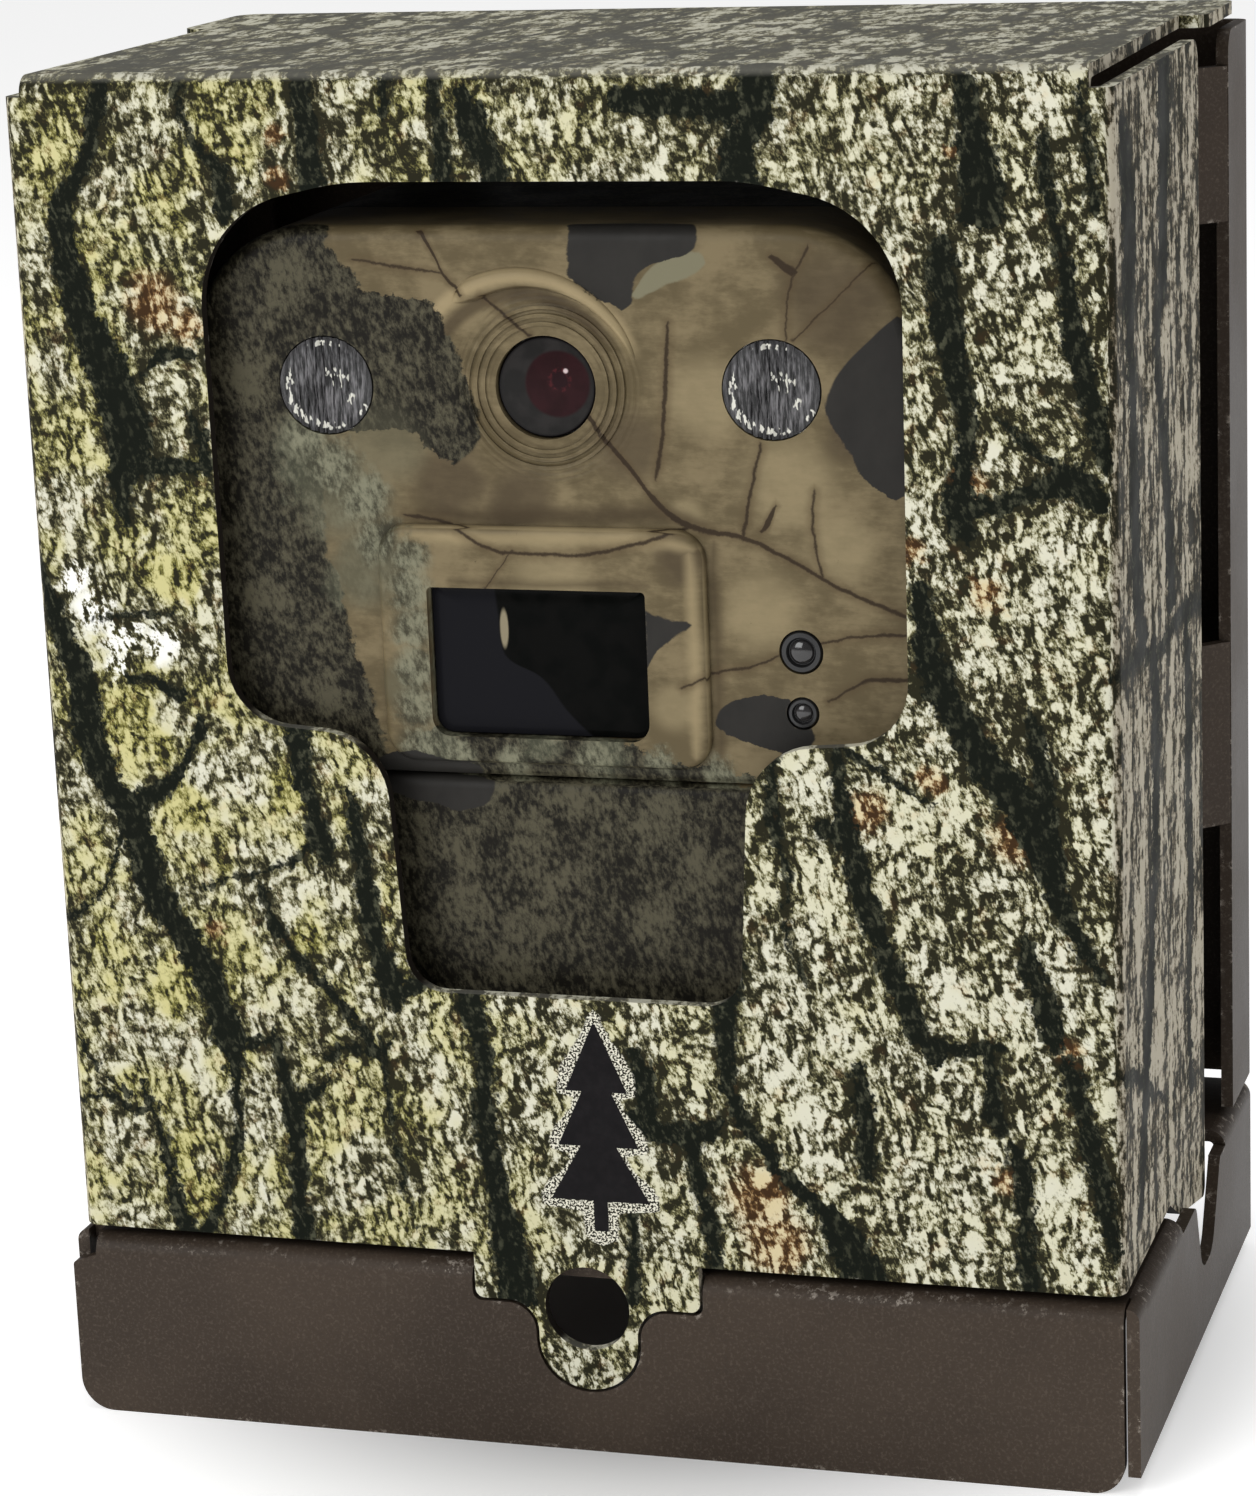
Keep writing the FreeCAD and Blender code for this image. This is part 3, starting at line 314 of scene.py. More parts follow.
# The cross cracks: (distance across the sheet, height, width) along each crack.
CRACKS = (
    ((10, 145, 3.4), (17, 144.6, 3.4), (24, 144, 4)),
    ((50, 97, 3), (56, 98, 2.4), (60, 100, 3), (63, 100.5, 4.6), (67, 98.5, 4)),
    ((54.5, 108, 0.8), (57, 106, 1.2), (61, 102.5, 1.8)),
    ((44, 32, 2.4), (48, 30.5, 2), (54, 31, 1)),
    ((33, 69, 1.2), (38, 66, 1.5), (42, 63.5, 1), (46, 61, 0.6)),
    ((32, 57.5, 2.4), (34.5, 57, 2.6)),
    ((7, 19, 3), (11, 17.5, 3), (15, 17.5, 3), (19, 19.5, 1.4)),
    ((-58, 56.5, 4), (-54, 58.8, 3), (-50.5, 61.5, 2.5), (-49, 64.5, 2), (-47.5, 67.5, 3.4)),
    ((-57, 73.5, 1), (-53, 73.2, 1.6), (-50, 71.5, 2)),
    ((-69, 41.3, 1), (-65, 43, 1.2), (-62.5, 45.5, 1.2), (-60.5, 49.5, 1.5), (-59.5, 53, 2)),
    ((-25, 34, 2), (-21.5, 34.5, 2.5), (-19, 36, 1.2)),
    ((-49, 46.5, 0.7), (-44, 48, 0.8), (-40, 49, 0.8), (-36, 50.5, 1), (-34, 52.5, 1.5)),
    ((-46, 25.5, 2), (-42, 26.3, 1.4), (-40, 27, 1.4)),
    ((-33, 25, 1), (-30, 26.2, 1.6), (-26, 26, 2), (-24, 28, 0.8)),
    ((-38, 19, 2.5), (-35, 20, 1.8), (-33, 22, 1), (-32, 25, 1)),
    ((-69, 16.5, 1), (-64, 18, 0.9), (-60, 16.3, 1.2), (-57, 16.5, 1.3)),
    ((-67.5, 26, 1.2), (-64.5, 21.5, 1), (-60.5, 18, 0.9)),
    ((-56, 99.5, 3), (-50, 100.5, 2.4), (-44, 100.5, 1.6)),
    ((-52, 112, 0.8), (-49, 114.5, 1.6), (-45, 114.5, 1.4)),
    ((-62, 81, 0.4), (-56, 81.5, 0.6), (-50, 82, 0.5)),
    ((68, 77, 1), (80, 77, 2.4), (95, 74, 2), (112, 75, 3), (130, 73, 2)),
    ((68, 28, 1), (78, 25, 2.4), (90, 19, 1.4), (100, 15, 0.4)),
)
# Pale, mossy, rusty and shaded places on the print: (distance across, height, radius).
PALE = ((-63, 85, 4), (-60, 79, 5), (-53, 79, 5), (-52, 54, 4), (-50, 23, 4), (-47, 20, 3), (-1, 143, 3),
        (26, 28, 6), (29, 20, 5), (31, 14, 4), (58, 85, 4), (62, 91, 4), (56, 37, 4), (48, 38, 4),
        (58, 12, 5), (62, 120, 5), (-55, 130, 5), (60, 144, 4), (47, 60, 5), (-36, 45, 4), (-48, 133, 4),
        (34, 33, 3), (54, 104, 3), (-32, 22, 3), (63, 3, 4), (24, 50, 4))
MOSS = ((-57, 92, 6), (-57, 68, 5), (-54, 65, 4), (-50, 57, 4), (-62, 36, 7), (-54, 33, 6), (-36, 61, 5),
        (-34, 40, 4), (-52, 5, 4), (-54, 12, 4), (-50, 86, 5), (35, 35, 3), (48, 55, 5))
# Painted glare: places on the left of the sheet washed white as a painted highlight, (distance across,
# height, radius).
GLARE_SPOTS = ((-63, 86, 3), (-61, 82, 4), (-57, 79, 4), (-52, 78, 3.6), (-58, 75, 2.5))
RUST = ((23, 10, 6), (25, 4, 6), (-50, 121, 5), (-46, 118, 3), (46, 64, 2.5), (56, 57, 4), (62, 31, 2.5),
        (44, 92, 2.5), (53, 87, 3), (38, 60, 4), (50, 139, 1.5), (-33, 141, 2), (-33, 136, 2), (51, 100, 3),
        (54, 14, 2.5), (-47, 41, 2))
SHADED = ((-63, 27, 4), (-53, 140, 6), (-52, 96, 5), (-36, 38, 4), (53, 66, 6), (55, 72, 7), (47, 45, 6),
          (52, 48, 5), (46, 13, 6), (52, 92, 6), (-60, 147, 5), (62, 62, 6), (46, 24, 4), (-23, 24, 5),
          (-20, 12, 6), (12, 20, 5), (35, 140, 3), (-66, 66, 5), (-20, 142, 6), (48, 78, 6), (57, 24, 4))
# The stippled edge round the printed tree: where its middle is, and (height, width) up it.
TREE_MIDDLE = 2.4
TREE_WIDTHS = ((2.7, 3), (3.2, 4.4), (6.4, 4.6), (7, 14.6), (8, 15.4), (14, 7.6), (14.6, 12.4),
               (15.4, 12.8), (21.4, 6.4), (22, 9.8), (22.8, 10.2), (31, 2.4), (32.6, 1))
TREE_EDGE = (tuple((height, TREE_MIDDLE, width) for height, width in TREE_WIDTHS),)


def bark_print():
    """Photographic tree bark printed on a flat sheet before it is folded; the inside is brown."""
    paint = Paint("bark_print", Specular_IOR_Level=0.016)
    normal_x, normal_y, normal_z = paint.split(paint.normal)
    side = normal_x.size().ramp(0.5, 0.9)
    top = normal_z.ramp(0.5, 0.9)
    depth = paint.y - FRONT / MM
    outward = paint.x.ramp(-1.0, 1.0, -1.0, 1.0)
    u = paint.x + outward * depth * normal_x.size().ramp(0.5, 0.8)
    v = paint.z - SILL + depth * normal_z.size().ramp(0.5, 0.8)
    flat = paint.join(u, v)

    # Ragged furrows and cracks, and a net of plates where nothing is drawn.
    jag = paint.noise(flat, 2.2, 3.0, 0.7) - 0.5
    tear = paint.noise(flat, 0.8, 2.0, 0.6) - 0.5
    drift = (paint.noise(flat, 9.0, 1.0) - 0.5) * 2.5
    across = u + (jag * 2.6 + tear * 1.2) * (side * 1.8 + 1.0)
    along = v + jag * 2.6 - tear * 1.2
    inside = paint.strokes(along, across, FURROWS).most(paint.strokes(across, along, CRACKS))
    beyond = (-u).ramp(66.0, 70.0).most(v.ramp(148.0, 152.0)) - 1.0
    net = paint.edges((u + drift * 1.6, v * 0.22 + drift), 10.5)
    inside = inside.most(1.35 - v.ramp(148.0, 150.0) - net * 10.5 + beyond * 40.0)

    # Flakes: fine noise, relief from the difference of two shifted noises, and small cells.
    wide = u - (u.size() - SIDE_FOLD).most(0.0) * outward * 0.5
    tall = v - (v - TOP_FOLD).most(0.0) * 0.5
    grain = paint.join(wide + tall * 0.28 + drift, tall * 0.5)
    flake = paint.noise(grain, 1.35, 4.0, 0.68) - 0.5
    speck = paint.noise(grain, 0.42, 2.0, 0.7) - 0.5
    grit = paint.noise(grain, 0.2, 1.0, 0.5) - 0.5
    lean = wide + tall * 0.3 + drift
    lit = paint.noise((lean + 0.2, tall * 0.62 - 0.16), 1.6, 4.0, 0.66)
    unlit = paint.noise((lean - 0.2, tall * 0.62 + 0.16), 1.6, 4.0, 0.66)
    relief = lit - unlit
    scale = paint.join(lean + jag * 1.8 + tear, tall * 0.6 + jag * 1.4)
    gap = paint.edges(scale, 1.9).fall(0.03, 0.2)
    tone = Signal(paint, paint.cells(scale, 1.9).outputs["Color"]) - 0.5
    ragged = inside + flake * 2.4 + relief * 3.0
    furrow = ragged.ramp(-0.3, 0.3)
    hem = ragged.ramp(-2.4, 0.2)

    # Light and shade: by flake, then by place, then by face of the sheet.
    plate = paint.noise((wide + tall * 0.25, tall * 0.55), 5.0, 3.0, 0.6) - 0.5
    field = paint.noise((wide, tall * 0.6), 9.0, 2.0, 0.5) - 0.5
    streaks = paint.noise((wide, v * 0.1), 1.8, 3.0, 0.65) - 0.5
    strands = paint.noise((wide, v * 0.16), 0.8, 2.0, 0.6) - 0.5
    slabs = paint.noise((u * 0.55, v * 0.36), 1.8, 3.0, 0.6) - 0.5
    right, left = u + jag * 5.0, u - jag * 5.0
    up, down = v + jag * 5.0, v - jag * 5.0
    pale = paint.spots(u + jag * 4.0, v + jag * 4.0, PALE)
    moss = paint.spots(right, down, MOSS)
    rust = paint.spots(left, up, RUST)
    shaded = paint.spots(right, up, SHADED)
    painted_glare = paint.spots(right, up, GLARE_SPOTS)
    light = flake * 0.36 + relief * 1.5 + tone * 0.22 - gap * 0.19 + 0.09 + speck * 0.44 + grit * 0.26
    light = light * (1.0 - side * 0.42 - top * 0.35) + 0.55
    light = light + plate * 0.46 + field * 0.3 + pale * 0.1 - shaded * 0.075 - hem * 0.07
    light = light + v.ramp(60.0, 125.0, 0.014, -0.026)
    light = light + u.fall(-50.0, -30.0) * v.ramp(55.0, 75.0, 0.03, 0.0)
    light = light + side * (streaks * 1.35 + strands * 0.5 + 0.02) + top * (slabs * 1.25 + 0.04)
    low_right = v.fall(70.0, 100.0) * u.ramp(-40.0, 0.0)
    strong = low_right.most((u - v * 0.1).ramp(20.0, 45.0))
    light = (light - 0.55) * (side * 0.2 + top * 0.3 + strong * 0.24 + 0.96) + 0.55
    level = paint.curve(light, ((0.37, 0.0), (0.45, 0.19), (0.55, 0.49), (0.65, 0.79), (0.75, 1.0)))

    # Colours of the plates.
    hue = paint.noise(flat, 11.0, 3.0, 0.6).ramp(0.42, 0.58)
    yellow = (hue * 0.75 + moss * 0.7 + (tone + 0.1) * 0.4) * u.ramp(-40.0, 40.0, 1.0, 0.28)
    # Painted sheen and shade: less yellow on the side and top faces.
    yellow = yellow * (1.0 - side.most(top) * 0.85)
    rust = rust.most(paint.noise(flat, 3.6, 3.0, 0.7).ramp(0.56, 0.7) * 0.38)
    bright = paint.mix(srgb(213, 211, 192), srgb(198, 192, 137), yellow)
    bright = paint.mix(bright, srgb(208, 190, 146), rust * 0.8)
    # Painted shade: greyer, browner light plates on the side faces.
    bright = paint.mix(bright, srgb(200, 188, 166), side * 0.7)
    middle = paint.mix(srgb(122, 118, 89), srgb(125, 121, 65), yellow)
    middle = paint.mix(middle, srgb(130, 100, 64), rust)
    # Painted shade: greyer, browner middle plates on the side faces.
    middle = paint.mix(middle, srgb(112, 101, 84), side * 0.8)
    dark = paint.mix(srgb(40, 39, 28), srgb(62, 44, 28), rust)
    bark = paint.mix(paint.mix(dark, middle, level * 2.0), bright, level * 1.8 - 0.8)
    # A painted highlight: glare whitening the lighter flakes on the left of the sheet.
    bark = paint.mix(bark, srgb(246, 246, 242), painted_glare * level.ramp(0.3, 0.7) * 0.85)

    # Furrows, the stippled edge of the printed tree, a painted sheen on the top face and painted shade on
    # the side faces, and the bare inside.
    fibre = paint.noise((u, v * 0.4), 0.7, 3.0, 0.7)
    crumbs = (fibre * 0.6 + relief * 1.6 + speck * 0.4 + 0.2).ramp(0.5, 0.85)
    pit = paint.mix(srgb(23, 26, 21), srgb(74, 75, 60), crumbs * (1.0 - inside.ramp(0.4, 2.6, 0.0, 0.65)))
    printed = paint.mix(bark, pit, furrow)
    outline = paint.strokes(v, u + tear, TREE_EDGE).ramp(-0.2, 0.2)
    stipple = paint.noise(flat, 0.28, 1.0).ramp(0.47, 0.53)
    printed = paint.mix(printed, paint.mix(srgb(44, 42, 34), srgb(222, 219, 202), stipple), outline)
    # Painted sheen: the top face washed towards pale grey.
    printed = paint.mix(printed, srgb(186, 183, 171), top * 0.22)
    # Painted shade: the side faces darkened.
    printed = paint.mix(printed, srgb(22, 20, 15), side * 0.22)
    inner = normal_y.most(-(outward * normal_x)).most(-normal_z).ramp(0.4, 0.7)
    coated = paint.mix(printed, srgb(38, 34, 30), inner)
    bare = paint.worn_edge(0.5) * paint.grain(1.4, 3.0, 0.7).ramp(0.56, 0.68)
    return paint.done(paint.mix(coated, srgb(150, 146, 136), bare * 0.7),
                      paint.noise(flat, 8.0, 2.0).ramp(0.3, 0.7, 0.42, 0.54),
                      (paint.grain(0.8, 2.0), 0.008), (paint.grain(14.0, 1.0), 0.12))


def brown_coat():
    """Fine-textured powder coat, rubbed pale in specks along the folds."""
    paint = Paint("brown_coat", Specular_IOR_Level=0.14)
    fine = paint.grain(0.4, 3.0, 0.6)
    broad = paint.grain(26.0, 3.0)
    base = paint.mix(srgb(56, 47, 39), srgb(65, 55, 46), broad.ramp(0.35, 0.65))
    base = paint.mix(base, srgb(94, 83, 73), fine.ramp(0.48, 0.7) * 0.5)
    base = paint.mix(base, srgb(40, 33, 27), paint.grain(0.8, 3.0, 0.7).ramp(0.5, 0.75) * 0.45)
    chips = paint.grain(1.2, 5.0, 0.75)
    runs = paint.noise((paint.x * 0.25, paint.y * 0.25, paint.z * 0.6), 2.2, 3.0, 0.7)
    across, back, up = [part.size() for part in paint.split(paint.normal)]
    bend = across.most(back).most(up).fall(0.9, 0.975) * up.ramp(0.15, 0.4)
    worn = paint.worn_edge(1.3).most(bend * 0.6) * chips.ramp(0.53, 0.63) * runs.ramp(0.42, 0.6)
    rubbed = paint.grain(0.6, 4.0, 0.8).ramp(0.72, 0.78)
    rubbed = rubbed * paint.grain(14.0).ramp(0.52, 0.7)
    dust = paint.grain(3.5, 4.0, 0.7).ramp(0.6, 0.8)
    base = paint.mix(base, srgb(104, 94, 84), dust * 0.25)
    return paint.done(paint.mix(base, srgb(182, 172, 160), (worn * 0.85).most(rubbed * 0.22)),
                      broad.ramp(0.3, 0.7, 0.44, 0.54),
                      (fine, 0.04), (paint.grain(1.5, 2.0), 0.03), (chips, 0.02))


# The print on the camera's case, in its own millimetres: across from the middle and up.
FILM_SHIFT = (1.7, 1.0)    # how far the film was laid off the case's middle, and down
# Mottled bark, charcoal and lichen areas and the leaf's veins are (run, middle, width) strokes.
MOTTLED = (
    ((132, -44, 33), (128, -43.8, 33.6), (125, -42.2, 35.4), (122.3, -40.5, 39), (121.4, -37.4, 45),
     (118, -36.3, 47.4), (113, -35.2, 49.6), (108.4, -34.7, 50.6), (106.6, -34.8, 51)),
    ((108.4, -15.4, 13), (106.8, -14.4, 11), (105, -13, 8.6), (103, -12.4, 4.8), (101.4, -12.4, 0.6)),
    ((108, -52.5, 30), (105, -52, 30), (98, -51, 30), (92, -46, 30), (88, -43.5, 30), (80, -42, 30),
     (70, -39, 30), (57, -37, 30)),
    ((69, -7, 14), (67.5, -5, 26), (65, -2, 34), (62.5, 3, 46), (59, 3, 50)),
    ((61, 0, 110), (50, 0, 120), (-10, 0, 120)),
)
CHARCOAL = (
    ((132, 11, 16), (129, 11.5, 16), (127.5, 11, 15.5), (126, 8.7, 10.5), (124.5, 7.6, 8.4),
     (122.5, 8.6, 5.4), (121, 10, 2)),
    ((119.5, 43.5, 1), (117, 42.6, 5), (114, 41.3, 8.5), (111, 40.4, 10.5), (109, 40.2, 11),
     (106, 40.6, 9.6), (103, 41.6, 7.6), (100.5, 42.3, 6.6), (98.7, 43, 3)),
    ((72.5, 26, 9), (71, 25.5, 11), (69.5, 26, 12), (67.5, 28, 7.5), (66.5, 29.5, 3)),
    ((64.5, -19, 8), (63, -17.5, 14), (61, -17, 15), (59, -16, 12), (58, -14, 6)),
)
THORN = (((11, 80, 8), (13, 81.2, 4.6), (15, 81.8, 2.4), (17.4, 82.4, 0.4)),)
LEAF_TIP = (((11.5, 122.3, 0.8), (14, 124.3, 3), (17, 125.6, 3.2), (20, 126.4, 1.6)),)
LICHEN = ((-31, 103, 6), (-30, 101, 7), (-26, 96, 7), (-24, 91, 6), (-26, 86, 5), (-17.8, 85, 3.4),
          (-17.8, 80, 3.2), (-17.8, 75, 3.2), (-17.8, 70, 3.2), (-17.8, 66, 3), (-22, 90, 4), (-2, 67, 3.4),
          (6, 66, 4), (-14, 66, 3.4), (23, 66, 4))
LICHEN_COLUMN = ((-18, 90, 3.6), (-18.4, 86, 4.2), (-18.2, 81, 4), (-18, 76, 4), (-18.2, 71, 4),
                 (-18, 66, 4.2), (-24, 97, 4.5), (-28, 101, 5), (-31, 105, 4), (-22.5, 92, 4.2),
                 (-13, 65, 3), (-6, 64.6, 2.6), (4, 64.8, 2.8), (13, 65, 2.6), (20, 64, 2.8))
HAZE = ((-27, 98, 9), (-21, 104, 7), (-24, 88, 7), (-20, 74, 4))
FADED = ((-14, 52, 4), (-14, 45, 4), (-4, 55, 4), (-3, 49, 4), (-8, 37, 4), (-6, 43, 4), (2, 60, 5),
         (12, 57, 5), (-10, 60, 3), (-38, 112, 5), (-33, 124, 5), (-38, 84, 5), (-31, 72, 4), (10, 44, 4),
         (17, 52, 4))
DUSK = ((36, 121, 9), (38, 106, 5), (-13, 99, 7), (10, 104, 6), (-4, 97, 6), (-12, 110, 3), (16, 90, 4))
GLOW = ((17, 95.6, 3), (30, 100, 8), (20, 110, 7), (0, 88, 7), (15, 72, 4), (26, 84, 7), (36, 92, 6))
# Painted shade along the hood's edges, and a painted highlight along its crest, as (run, middle, width)
# strokes.
HOOD_SHADE_ACROSS = (((-17, 95.4, 0.6), (-10, 95.2, 1.8), (4, 95.4, 2.2), (14, 95.6, 2), (19, 94.6, 0.6)),
                     ((-13, 87.2, 0.4), (0, 87, 0.8), (12, 87.2, 0.4)))
HOOD_SHADE_UP = (((65, 20.4, 0.6), (72, 20.3, 1.4), (84, 20.3, 1.4), (92, 20.2, 0.8)),
                 ((66, -14.6, 0.4), (76, -14.8, 1), (85, -14.8, 0.6)))
HOOD_HIGHLIGHT_ACROSS = (
    ((-19, 92.6, 0.6), (-10, 92.7, 1.6), (4, 92.9, 1.8), (14, 92.7, 1.6), (18, 91.6, 0.6)),)
HOOD_HIGHLIGHT_UP = (((66, 17.6, 0.6), (74, 17.8, 1.4), (86, 17.8, 1.4), (91, 17.4, 0.8)),)
VEINS_ACROSS = (
    ((-15.2, 130, 0.9), (-13.5, 127, 0.8), (-12.5, 124.8, 0.7), (-10.2, 122.4, 0.6)),
    ((-7.4, 122, 0.5), (-2, 117.4, 0.5)),
    ((4.5, 108.5, 1.1), (7, 105, 1), (10, 101.5, 0.9), (14, 96.5, 1), (17.5, 94.3, 0.8), (24, 93, 0.7),
     (30, 90.3, 0.6), (36, 87, 0.6), (44, 83.8, 0.6)),
    ((-19, 95, 0.4), (-13, 94, 0.5), (-9, 91.8, 0.5), (-6, 90.8, 0.5), (2, 90.7, 0.5), (10, 92, 0.5),
     (17.5, 94.3, 0.6)),
    ((16, 74.5, 0.3), (20, 76.2, 0.4), (25, 77.3, 0.4), (28, 78.6, 0.3)),
    ((32, 80, 0.3), (38, 81.2, 0.4), (44, 81.6, 0.5)),
    ((34, 73, 0.3), (37, 74.8, 0.4), (40, 76, 0.6), (44, 76, 0.6)),
    ((-8.5, 86.4, 0.3), (-5, 91, 0.3)),
    ((31, 117, 0.3), (41, 126.5, 0.3)),
    ((-24, 126.5, 0.3), (-18, 125.6, 0.4), (-12.5, 124.8, 0.3)),
    ((26.3, 93.8, 0.5), (27.4, 95.4, 1.4), (28.2, 97, 0.4)),
    ((28.6, 126.8, 0.8), (31, 125.2, 1.2)),
)
VEINS_UP = (
    ((119, 15.6, 0.4), (112, 15, 0.6), (104, 14.2, 0.6), (100, 13.4, 0.4)),
    ((104.5, 26.6, 0.4), (98, 25, 0.5), (93, 24, 0.5)),
    ((117, 30, 0.3), (123, 30.6, 0.3), (128, 33, 0.4)),
    ((88.5, 33.7, 0.4), (92, 33, 0.4), (95, 32.7, 0.4), (99, 33, 0.3)),
)


def leaf_print():
    """The case's printed film: a tan leaf with brown veins over mottled bark and lichen."""
    paint = Paint("leaf_print", Specular_IOR_Level=0.12)
    normal_x, normal_y, normal_z = paint.split(paint.normal)
    depth = paint.y - CASE_FRONT / MM
    outward = paint.x.ramp(-1.0, 1.0, -1.0, 1.0)
    u = paint.x + FILM_SHIFT[0] + outward * depth * normal_x.size().ramp(0.6, 0.8)
    v = paint.z - SILL + FILM_SHIFT[1] + depth * normal_z.size().ramp(0.6, 0.8)
    flat = paint.join(u, v)
    jag = paint.noise(flat, 1.8, 4.0, 0.7) - 0.5
    soft = paint.noise(flat, 7.0, 2.0) - 0.5
    rear = depth.ramp(17.0, 19.0)

    streak = paint.noise((u + v * 0.2, v * 0.55), 0.8, 4.0, 0.72)
    lump = paint.noise((u, v * 0.7), 4.5, 3.0, 0.65)
    faded = paint.spots(u + jag * 5.0, v + jag * 5.0, FADED)
    grey = (streak * 1.1 + lump * 0.5 + faded * 0.12).ramp(0.68, 1.02)
    bark = paint.mix(srgb(21, 19, 13), srgb(82, 78, 62), grey)
    lichen = paint.spots(u + jag * 6.0, v + jag * 6.0, LICHEN)
    pale = paint.mix(srgb(68, 69, 55), srgb(118, 117, 97), (streak * 0.5 + lump * 0.5).ramp(0.4, 0.62))
    bark = paint.mix(bark, pale, lichen * 0.85)

    cloud = paint.noise(flat, 9.0, 4.0, 0.6)
    fibre = paint.noise((u * 0.35 + v * 0.12, v), 1.1, 4.0, 0.7)
    tan = paint.mix(srgb(92, 81, 58), srgb(122, 109, 82), (cloud * 0.7 + fibre * 0.3).ramp(0.4, 0.62))
    tan = paint.mix(tan, srgb(150, 136, 104), paint.spots(u, v, GLOW) * 0.5)
    tan = paint.mix(tan, srgb(72, 61, 45), paint.spots(u + soft * 5.0, v, DUSK) * 0.75)
    far = paint.far(flat, 0.1, 111.0)
    # Painted shade in the ring grooves round the lens: patchy dark rings out to about 13.5 mm.
    rings = (far + soft * 0.6).math("PINGPONG", 0.4) * 2.5
    near_lens = far.fall(11.0, 13.5) * paint.noise(flat, 5.0, 2.0).ramp(0.42, 0.6)
    tan = paint.mix(tan, srgb(76, 64, 45), (1.0 - rings).ramp(0.4, 1.0) * near_lens * 0.4)
    # Painted shade along the hood's edges and a painted highlight along its crest.
    hood_painted_shade = paint.strokes(u, v + soft, HOOD_SHADE_ACROSS).most(paint.strokes(v, u + soft, HOOD_SHADE_UP))
    hood_painted_highlight = paint.strokes(u, v + soft, HOOD_HIGHLIGHT_ACROSS).most(paint.strokes(v, u + soft, HOOD_HIGHLIGHT_UP))
    tan = paint.mix(tan, srgb(62, 51, 35), hood_painted_shade.ramp(-0.9, 0.9) * 0.7)
    tan = paint.mix(tan, srgb(158, 142, 108), hood_painted_highlight.ramp(-0.8, 0.8) * 0.6)
    # A painted highlight along the brow's crest and painted shade under its inner edge.
    brow_far = paint.far(flat, -2.8, 109.8)
    brow_painted_shade = (brow_far - 12.5).size().fall(0.3, 1.4) * (v - u * 0.25).ramp(112.0, 117.0)
    brow_painted_highlight = (brow_far - 14.9).size().fall(0.2, 1.5) * (v - u * 0.25).ramp(111.0, 115.0)
    tan = paint.mix(tan, srgb(166, 149, 114), brow_painted_highlight * 0.65)
    tan = paint.mix(tan, srgb(58, 47, 33), brow_painted_shade * 0.7)
    freckle = paint.noise(flat, 0.9, 4.0, 0.8).ramp(0.66, 0.74)
    tan = paint.mix(tan, srgb(60, 48, 32), freckle * 0.6)
    shake = jag * 0.9
    vein = paint.strokes(u, v + shake, VEINS_ACROSS).most(paint.strokes(v, u + shake, VEINS_UP))
    tan = paint.mix(tan, srgb(80, 66, 45), vein.ramp(-1.2, 0.2) * 0.5)
    tan = paint.mix(tan, srgb(44, 33, 22), vein.ramp(-0.12, 0.2) * 0.9)

    mottled = paint.strokes(v + jag * 3.0, u + jag * 3.0, MOTTLED).ramp(-0.3, 0.3).most(rear)
    haze = paint.spots(u + soft * 6.0, v, HAZE)
    skin = paint.mix(tan, bark, mottled.most(lichen * 0.6 * haze))
    hazy = paint.mix(srgb(78, 77, 60), srgb(106, 102, 82), lump)
    skin = paint.mix(skin, hazy, haze * 0.55 * (1.0 - mottled * 0.4))
    column = paint.spots(u + jag * 2.5, v + jag * 5.0, LICHEN_COLUMN)
    crust = paint.mix(srgb(56, 55, 43), srgb(126, 125, 104), (streak * 0.6 + lump * 0.4).ramp(0.4, 0.6))
    skin = paint.mix(skin, crust, column * 0.9)
    tip = paint.strokes(u + jag, v + jag, LEAF_TIP).ramp(-0.2, 0.2)
    skin = paint.mix(skin, srgb(118, 114, 92), tip)
    black = paint.strokes(v + jag, u + jag, CHARCOAL).most(paint.strokes(u, v + jag, THORN))
    soot = paint.mix(srgb(34, 33, 31), srgb(50, 48, 45), lump)
    skin = paint.mix(skin, soot, black.ramp(-0.15, 0.2) * (1.0 - rear))
    edge = paint.worn_edge(0.4) * streak.ramp(0.5, 0.6)
    groove = rings * far.ramp(8.5, 9.0) * far.fall(11.0, 12.5)
    return paint.done(paint.mix(skin, srgb(130, 120, 98), edge * 0.3), cloud.ramp(0.3, 0.7, 0.42, 0.55),
                      (paint.noise(flat, 0.35, 2.0), 0.012), (groove, 0.12))


def plain(name, colour, rough=0.5, metal=0.0, grain=0.02, **fixed):
    """A simple finish with a little colour drift and fine grain."""
    paint = Paint(name, Metallic=metal, **fixed)
    drift = paint.grain(7.0, 3.0)
    darker = tuple(level * 0.75 for level in colour)
    lighter = tuple(min(level * 1.2 + 0.004, 1.0) for level in colour)
    skin = paint.mix(darker, lighter, drift.ramp(0.3, 0.7))
    edge = paint.worn_edge(0.3) * paint.grain(0.9, 3.0, 0.7).ramp(0.45, 0.6)
    return paint.done(paint.mix(skin, tuple(level * 1.6 + 0.02 for level in colour), edge * 0.5),
                      paint.grain(3.0, 2.0).ramp(0.3, 0.7, rough * 0.85, min(rough * 1.15, 1.0)),
                      (paint.grain(0.6, 3.0), grain))


def decal_ink():
    """Flat black ink over the print."""
    paint = Paint("decal_ink", Specular_IOR_Level=0.12)
    mottle = paint.grain(1.2, 4.0, 0.7).ramp(0.4, 0.7)
    return paint.done(paint.mix(srgb(13, 11, 13), srgb(21, 18, 20), mottle),
                      paint.grain(2.0).ramp(0.3, 0.7, 0.5, 0.65), (paint.grain(0.5, 2.0), 0.01))


